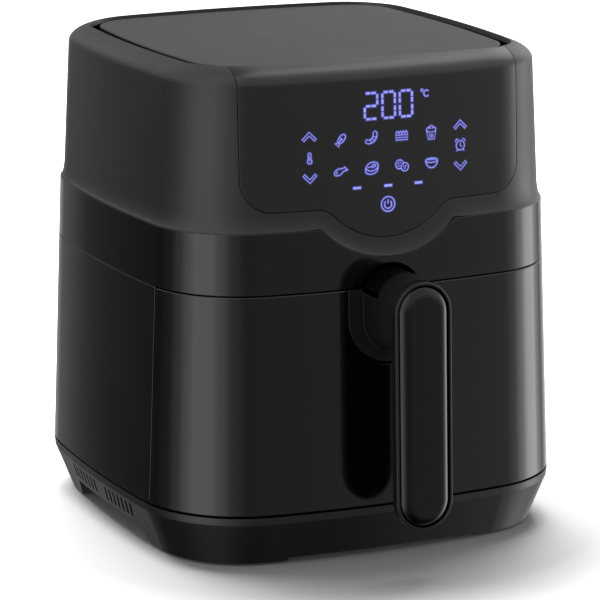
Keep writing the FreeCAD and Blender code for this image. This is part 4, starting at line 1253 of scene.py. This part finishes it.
# With a wavy top.
CAKE = [
    line([(-3.9, -2.5), (3.9, -2.5), (3.9, 0.4), (-3.9, 0.4)], THIN, True),
    line([(-3.6, -1.1), (3.6, -1.1)], FINE),
] + [bow(-2.85 + 1.9 * k, 0.6, 0.9, 2.0, 10, 170, count=10) for k in range(4)]
# A cup of them.
CHIPS = [
    line([(-3.0, 0.6), (-2.0, -3.8), (2.0, -3.8), (3.0, 0.6)], THIN, True),
    bow(-1.7, 2.0, 1.4, 1.3, 30, 260, count=12),
    bow(0, 3.0, 1.4, 1.3, -20, 200, count=12),
    bow(1.7, 2.0, 1.4, 1.3, -80, 150, count=12),
] + [line([(1.1 * k, -0.4), (0.8 * k, -3.0)], FINE) for k in (-1, 0, 1)]
DRUMSTICK = [
    bow(-1.4, -0.9, 2.9, 1.8, 20, 325, 25),
    line([(0.9, 1.1), (2.8, 1.9), (3.2, 0.8), (4.2, 0.1)]),
    line([(0.9, -1.1), (2.6, -0.2), (4.2, 0.1)]),
    bow(-1.8, -1.0, 1.3, 0.7, 90, 250, 25, 10, FINE),
]
STEAK = [
    ring(0.3, 0.9, 3.9, 2.5, 12),
    bow(-0.2, -1.1, 3.9, 2.4, 175, 365, 8),
    ring(1.4, 1.4, 1.2, 0.7, 12),
    line([(-2.6, 0.4), (-0.8, 0.9), (0.4, 0.2)], FINE),
    line([(-3.9, 0.4), (-4.0, -1.4)]),
    line([(4.0, 1.2), (3.8, -0.8)]),
]
# Two round ones, one behind the other.
CRUMBS = ((-2.6, 1.4), (-1.2, 1.8), (-2.2, 0.0), (1.1, -0.5), (2.3, -0.5), (1.7, -1.7))
BISCUITS = [
    bow(-1.6, 0.8, 2.6, 2.6, 0, 290),
    ring(1.7, -0.9, 2.4, 2.4),
] + [ring(x, z, 0.3, 0.3, count=8, width=0.3) for x, z in CRUMBS]
BOWL = [
    ring(0, 1.4, 4.0, 1.3),
    bow(0, 1.4, 4.0, 4.3, 185, 355),
    line([(-1.6, -2.9), (1.6, -2.9)]),
] + [bow(1.7 * k, 1.5, 0.8, 0.6, 0, 180, 0, 8, FINE) for k in (-1, 0, 1)]
CLOCK = [
    ring(0, 0, 2.8, 2.8),
    line([(0, 1.5), (0, -0.2), (0.9, -0.8)], 0.45),
]
CLOCK += [bow(side * 2.3, 2.9, 1.0, 0.7, 0, 180, -side * 40, 8) for side in (-1, 1)]
CLOCK += [line([(side * 1.8, -2.3), (side * 2.5, -3.3)]) for side in (-1, 1)]
THERMOMETER = [
    bow(0, -1.8, 1.35, 1.35, 125, 415, count=16),
    line([(-0.8, -0.8), (-0.8, 2.4)]),
    line([(0.8, -0.8), (0.8, 2.4)]),
    bow(0, 2.4, 0.8, 0.8, 0, 180, count=8),
    line([(0, -1.8), (0, 0.8)], FINE),
]

# Each figure's place on the panel.
KEY_COLUMNS = (-29.5, -10.0, 9.5, 29.0)
TOP_KEYS = (FISH, SHRIMP, CAKE, CHIPS)
LOW_KEYS = (DRUMSTICK, STEAK, BISCUITS, BOWL)
FIGURES = [
    (-9.9, 262.5, number("abged")), (1.4, 262.5, number("abcdef")), (12.6, 262.5, number("abcdef")),
    (23.2, 276.8, DEGREES), (-48.6, 242.2, THERMOMETER), (48.6, 242.4, CLOCK), (0, 211.9, POWER),
]
FIGURES += [(x, z, arrow(up)) for x in (-48.6, 48.6) for z, up in ((254.7, 1), (230.4, -1))]
FIGURES += [(x, 223.0, DASH) for x in (-19.6, 0.3, 20.1)]
FIGURES += [(x, 251.4, strokes) for x, strokes in zip(KEY_COLUMNS, TOP_KEYS)]
FIGURES += [(x, 233.9, strokes) for x, strokes in zip(KEY_COLUMNS, LOW_KEYS)]


def lay(b, xz, depth):
    """Vertices on the control panel, sunk by that much."""
    u = UPPER.u_at_x(xz[:, 0], xz[:, 1])
    point, normal = UPPER.on(np.stack([u, xz[:, 1]], -1))
    return b.add(point - normal * depth)


def draw_stroke(b, points, width, closed, wider, proud):
    """Thin raised stroke laid on the control panel."""
    pts = np.array(points, float)
    if closed:
        d = unit(np.roll(pts, -1, axis=0) - np.roll(pts, 1, axis=0))
    else:
        d = unit(np.concatenate([pts[1:], pts[-1:]]) - np.concatenate([pts[:1], pts[:-1]]))
        pts[0] -= d[0] * wider / 2
        pts[-1] += d[-1] * wider / 2
    side = np.stack([-d[:, 1], d[:, 0]], -1) * (width + wider) / 2
    left = pts + side
    right = pts - side
    rows = [lay(b, left, INK_SUNK), lay(b, left, -proud), lay(b, right, -proud), lay(b, right, INK_SUNK)]
    front = [(0, -1, 0)] * len(pts)
    for k in range(4):
        b.strip(rows[(k + 1) % 4], rows[k], front, front, closed=closed)
    if not closed:
        b.face([row[0] for row in rows], front[:1] * 4)
        b.face([row[-1] for row in rows[::-1]], front[:1] * 4)


def figures(wider, proud):
    """All the figures, their strokes wider by that much and standing that proud."""
    b = Builder()
    for x, z, strokes in FIGURES:
        for points, width, closed in strokes:
            draw_stroke(b, [(x + px, z + pz) for px, pz in points], width, closed, wider, proud)
    return b


def make_figures():
    """Lit figures, over a wider dim glow."""
    new_object("panel_figures", figures(0.0, 0.09), "display_light", "housing")
    new_object("panel_glow", figures(1.1, 0.03), "display_halo", "housing")


# ---------------------------------------------------------------- stage

# Brightness of the studio walls by compass heading, in degrees from +Y towards +X: soft boxes at the
# right, the left front and the right back, in an otherwise dim room.
WALLS = (
    (0, 0.6), (14, 0.35), (24, 0.3), (33, 0.6), (43, 1.1), (54, 0.75), (62, 0.42), (72, 1.1),
    (84, 3.3), (96, 3.9), (108, 2.0), (120, 0.85), (132, 0.52), (150, 0.42), (170, 0.32),
    (197, 0.28), (212, 0.55), (226, 1.3), (238, 2.05), (256, 2.05), (266, 1.4), (278, 0.6),
    (292, 0.18), (310, 0.07), (330, 0.07), (341, 0.1), (347, 0.25), (353, 0.6),
)
# The same higher up, where the matt parts also look.
UPPER_WALLS = (
    (0, 0.5), (20, 0.3), (31, 0.8), (43, 1.8), (60, 2.2), (80, 1.6), (92, 1.2), (104, 1.2), (120, 1.2),
    (140, 1.0), (165, 0.9), (200, 0.9), (228, 1.6), (252, 1.9), (278, 1.5), (300, 1.0), (335, 0.7),
)
STUDIO_TOP = 4.0
WORLD_WHITE = 1.0
WORLD_FILL = 0.24
FLOOR_HALF = 6.0
FLOOR_WHITE_FROM = (0.18, 0.36)
LIGHT_PLACE = (0.1, 0.82, 1.6)
LIGHT_TARGET = (0.02, 0.1, 0)
LIGHT_SIZE = (2.0, 1.3)
LIGHT_POWER = 75
# The camera's place in millimetres about the middle of the body, and where it looks.
CAMERA_PLACE = (-843.3, -1852.1, 608.9)
CAMERA_LOOK = (0.40410, 0.88523, -0.23036)
CAMERA_LENS = 202.16


def studio_level(tree, x, y, table):
    """Studio brightness in the direction (x, y), from a table of headings."""
    angle = maths(tree, "ARCTAN2", x, y)
    turn = maths(tree, "FRACT", maths(tree, "ADD", maths(tree, "DIVIDE", angle, 2 * math.pi), 1.0))
    ramp = node(tree, "ValToRGB", {"Fac": turn})
    ramp.color_ramp.interpolation = "EASE"
    stops = ramp.color_ramp.elements
    while len(stops) > 1:
        stops.remove(stops[0])
    for k, (heading, level) in enumerate(table):
        stop = stops[0] if k == 0 else stops.new(heading / 360.0)
        stop.position = heading / 360.0
        stop.color = (level / STUDIO_TOP,) * 3 + (1,)
    return maths(tree, "MULTIPLY", ramp.outputs["Color"], STUDIO_TOP)


def floor_paint():
    """Matt white; to the camera it turns into the white backdrop away from the object."""
    mat, tree = new_material("floor_paint")
    place = node(tree, "NewGeometry").outputs["Position"]
    reach = node(tree, "VectorMath", {0: place}, operation="LENGTH").outputs["Value"]
    far = remap(tree, reach, 0.0, 1.0, *FLOOR_WHITE_FROM)
    return finished(mat, {
        "Base Color": (0.93, 0.93, 0.93, 1),
        "Roughness": remap(tree, noise(tree, coordinates(tree), 3.0), 0.85, 0.95),
        "Specular IOR Level": 0.1,
        "Emission Color": (1, 1, 1, 1),
        "Emission Strength": maths(tree, "MULTIPLY", far, node(tree, "LightPath").outputs["Is Camera Ray"]),
    })


def make_stage():
    """Floor under the object."""
    data = bpy.data.meshes.new("floor")
    corners = [(FLOOR_HALF * x, FLOOR_HALF * y, 0) for x, y in ((-1, -1), (1, -1), (1, 1), (-1, 1))]
    data.from_pydata(corners, [], [(0, 1, 2, 3)])
    data.materials.append(floor_paint())
    floor = bpy.data.objects.new("floor", data)
    floor.visible_glossy = False
    bpy.context.scene.collection.objects.link(floor)


def background(tree, strength):
    return node(tree, "Background", {"Color": (1, 1, 1, 1), "Strength": strength}).outputs[0]


def make_world():
    """White behind the object, an even fill, and the studio walls for the gloss."""
    world = bpy.data.worlds.new("studio")
    bpy.context.scene.world = world
    world.use_nodes = True
    tree = world.node_tree
    split = node(tree, "SeparateXYZ", {0: node(tree, "TexCoord").outputs["Generated"]})
    x, y, z = split.outputs
    shade = remap(tree, z, 0.12, 1.0, -0.75, -0.35)
    walls = node(tree, "Mix", {
        "Factor": remap(tree, z, 0.0, 1.0, -0.13, 0.4),
        "A": maths(tree, "MULTIPLY", studio_level(tree, x, y, WALLS), shade),
        "B": studio_level(tree, x, y, UPPER_WALLS),
    })
    path = node(tree, "LightPath").outputs
    gloss = node(tree, "MixShader", {
        "Fac": path["Is Glossy Ray"],
        1: background(tree, WORLD_FILL),
        2: background(tree, walls.outputs["Result"]),
    })
    seen = node(tree, "MixShader", {
        "Fac": path["Is Camera Ray"],
        1: gloss.outputs[0],
        2: background(tree, WORLD_WHITE),
    })
    put(tree, tree.nodes["World Output"].inputs, {"Surface": seen.outputs[0]})


def make_lights():
    """Soft box above, which lights the object and the floor but isn't mirrored in the gloss."""
    light = bpy.data.lights.new("top", "AREA")
    light.shape = "RECTANGLE"
    light.size, light.size_y = LIGHT_SIZE
    light.energy = LIGHT_POWER
    obj = bpy.data.objects.new("top", light)
    obj.location = LIGHT_PLACE
    aim = Vector(LIGHT_TARGET) - Vector(LIGHT_PLACE)
    obj.rotation_euler = aim.to_track_quat("-Z", "Y").to_euler()
    obj.visible_glossy = False
    bpy.context.scene.collection.objects.link(obj)


def make_camera():
    """Standing to the left of the front, a little above the lid."""
    data = bpy.data.cameras.new("camera")
    data.sensor_width = 36.0
    data.lens = CAMERA_LENS
    cam = bpy.data.objects.new("camera", data)
    x, y, z = CAMERA_PLACE
    cam.location = Vector((x, y + BODY_Y, z)) * MM
    cam.rotation_euler = Vector(CAMERA_LOOK).normalized().to_track_quat("-Z", "Y").to_euler()
    data.clip_end = 50
    bpy.context.scene.view_settings.view_transform = "Standard"
    bpy.context.scene.collection.objects.link(cam)
    bpy.context.scene.camera = cam


make_camera()
make_stage()
make_world()
make_lights()
dress_cad_nodes()
make_drawer_front()
make_lower_shell()
make_belt()
make_upper_housing()
make_control_panel()
make_top_plate()
make_grip()
make_handle_base()
make_button_spring()
make_figures()
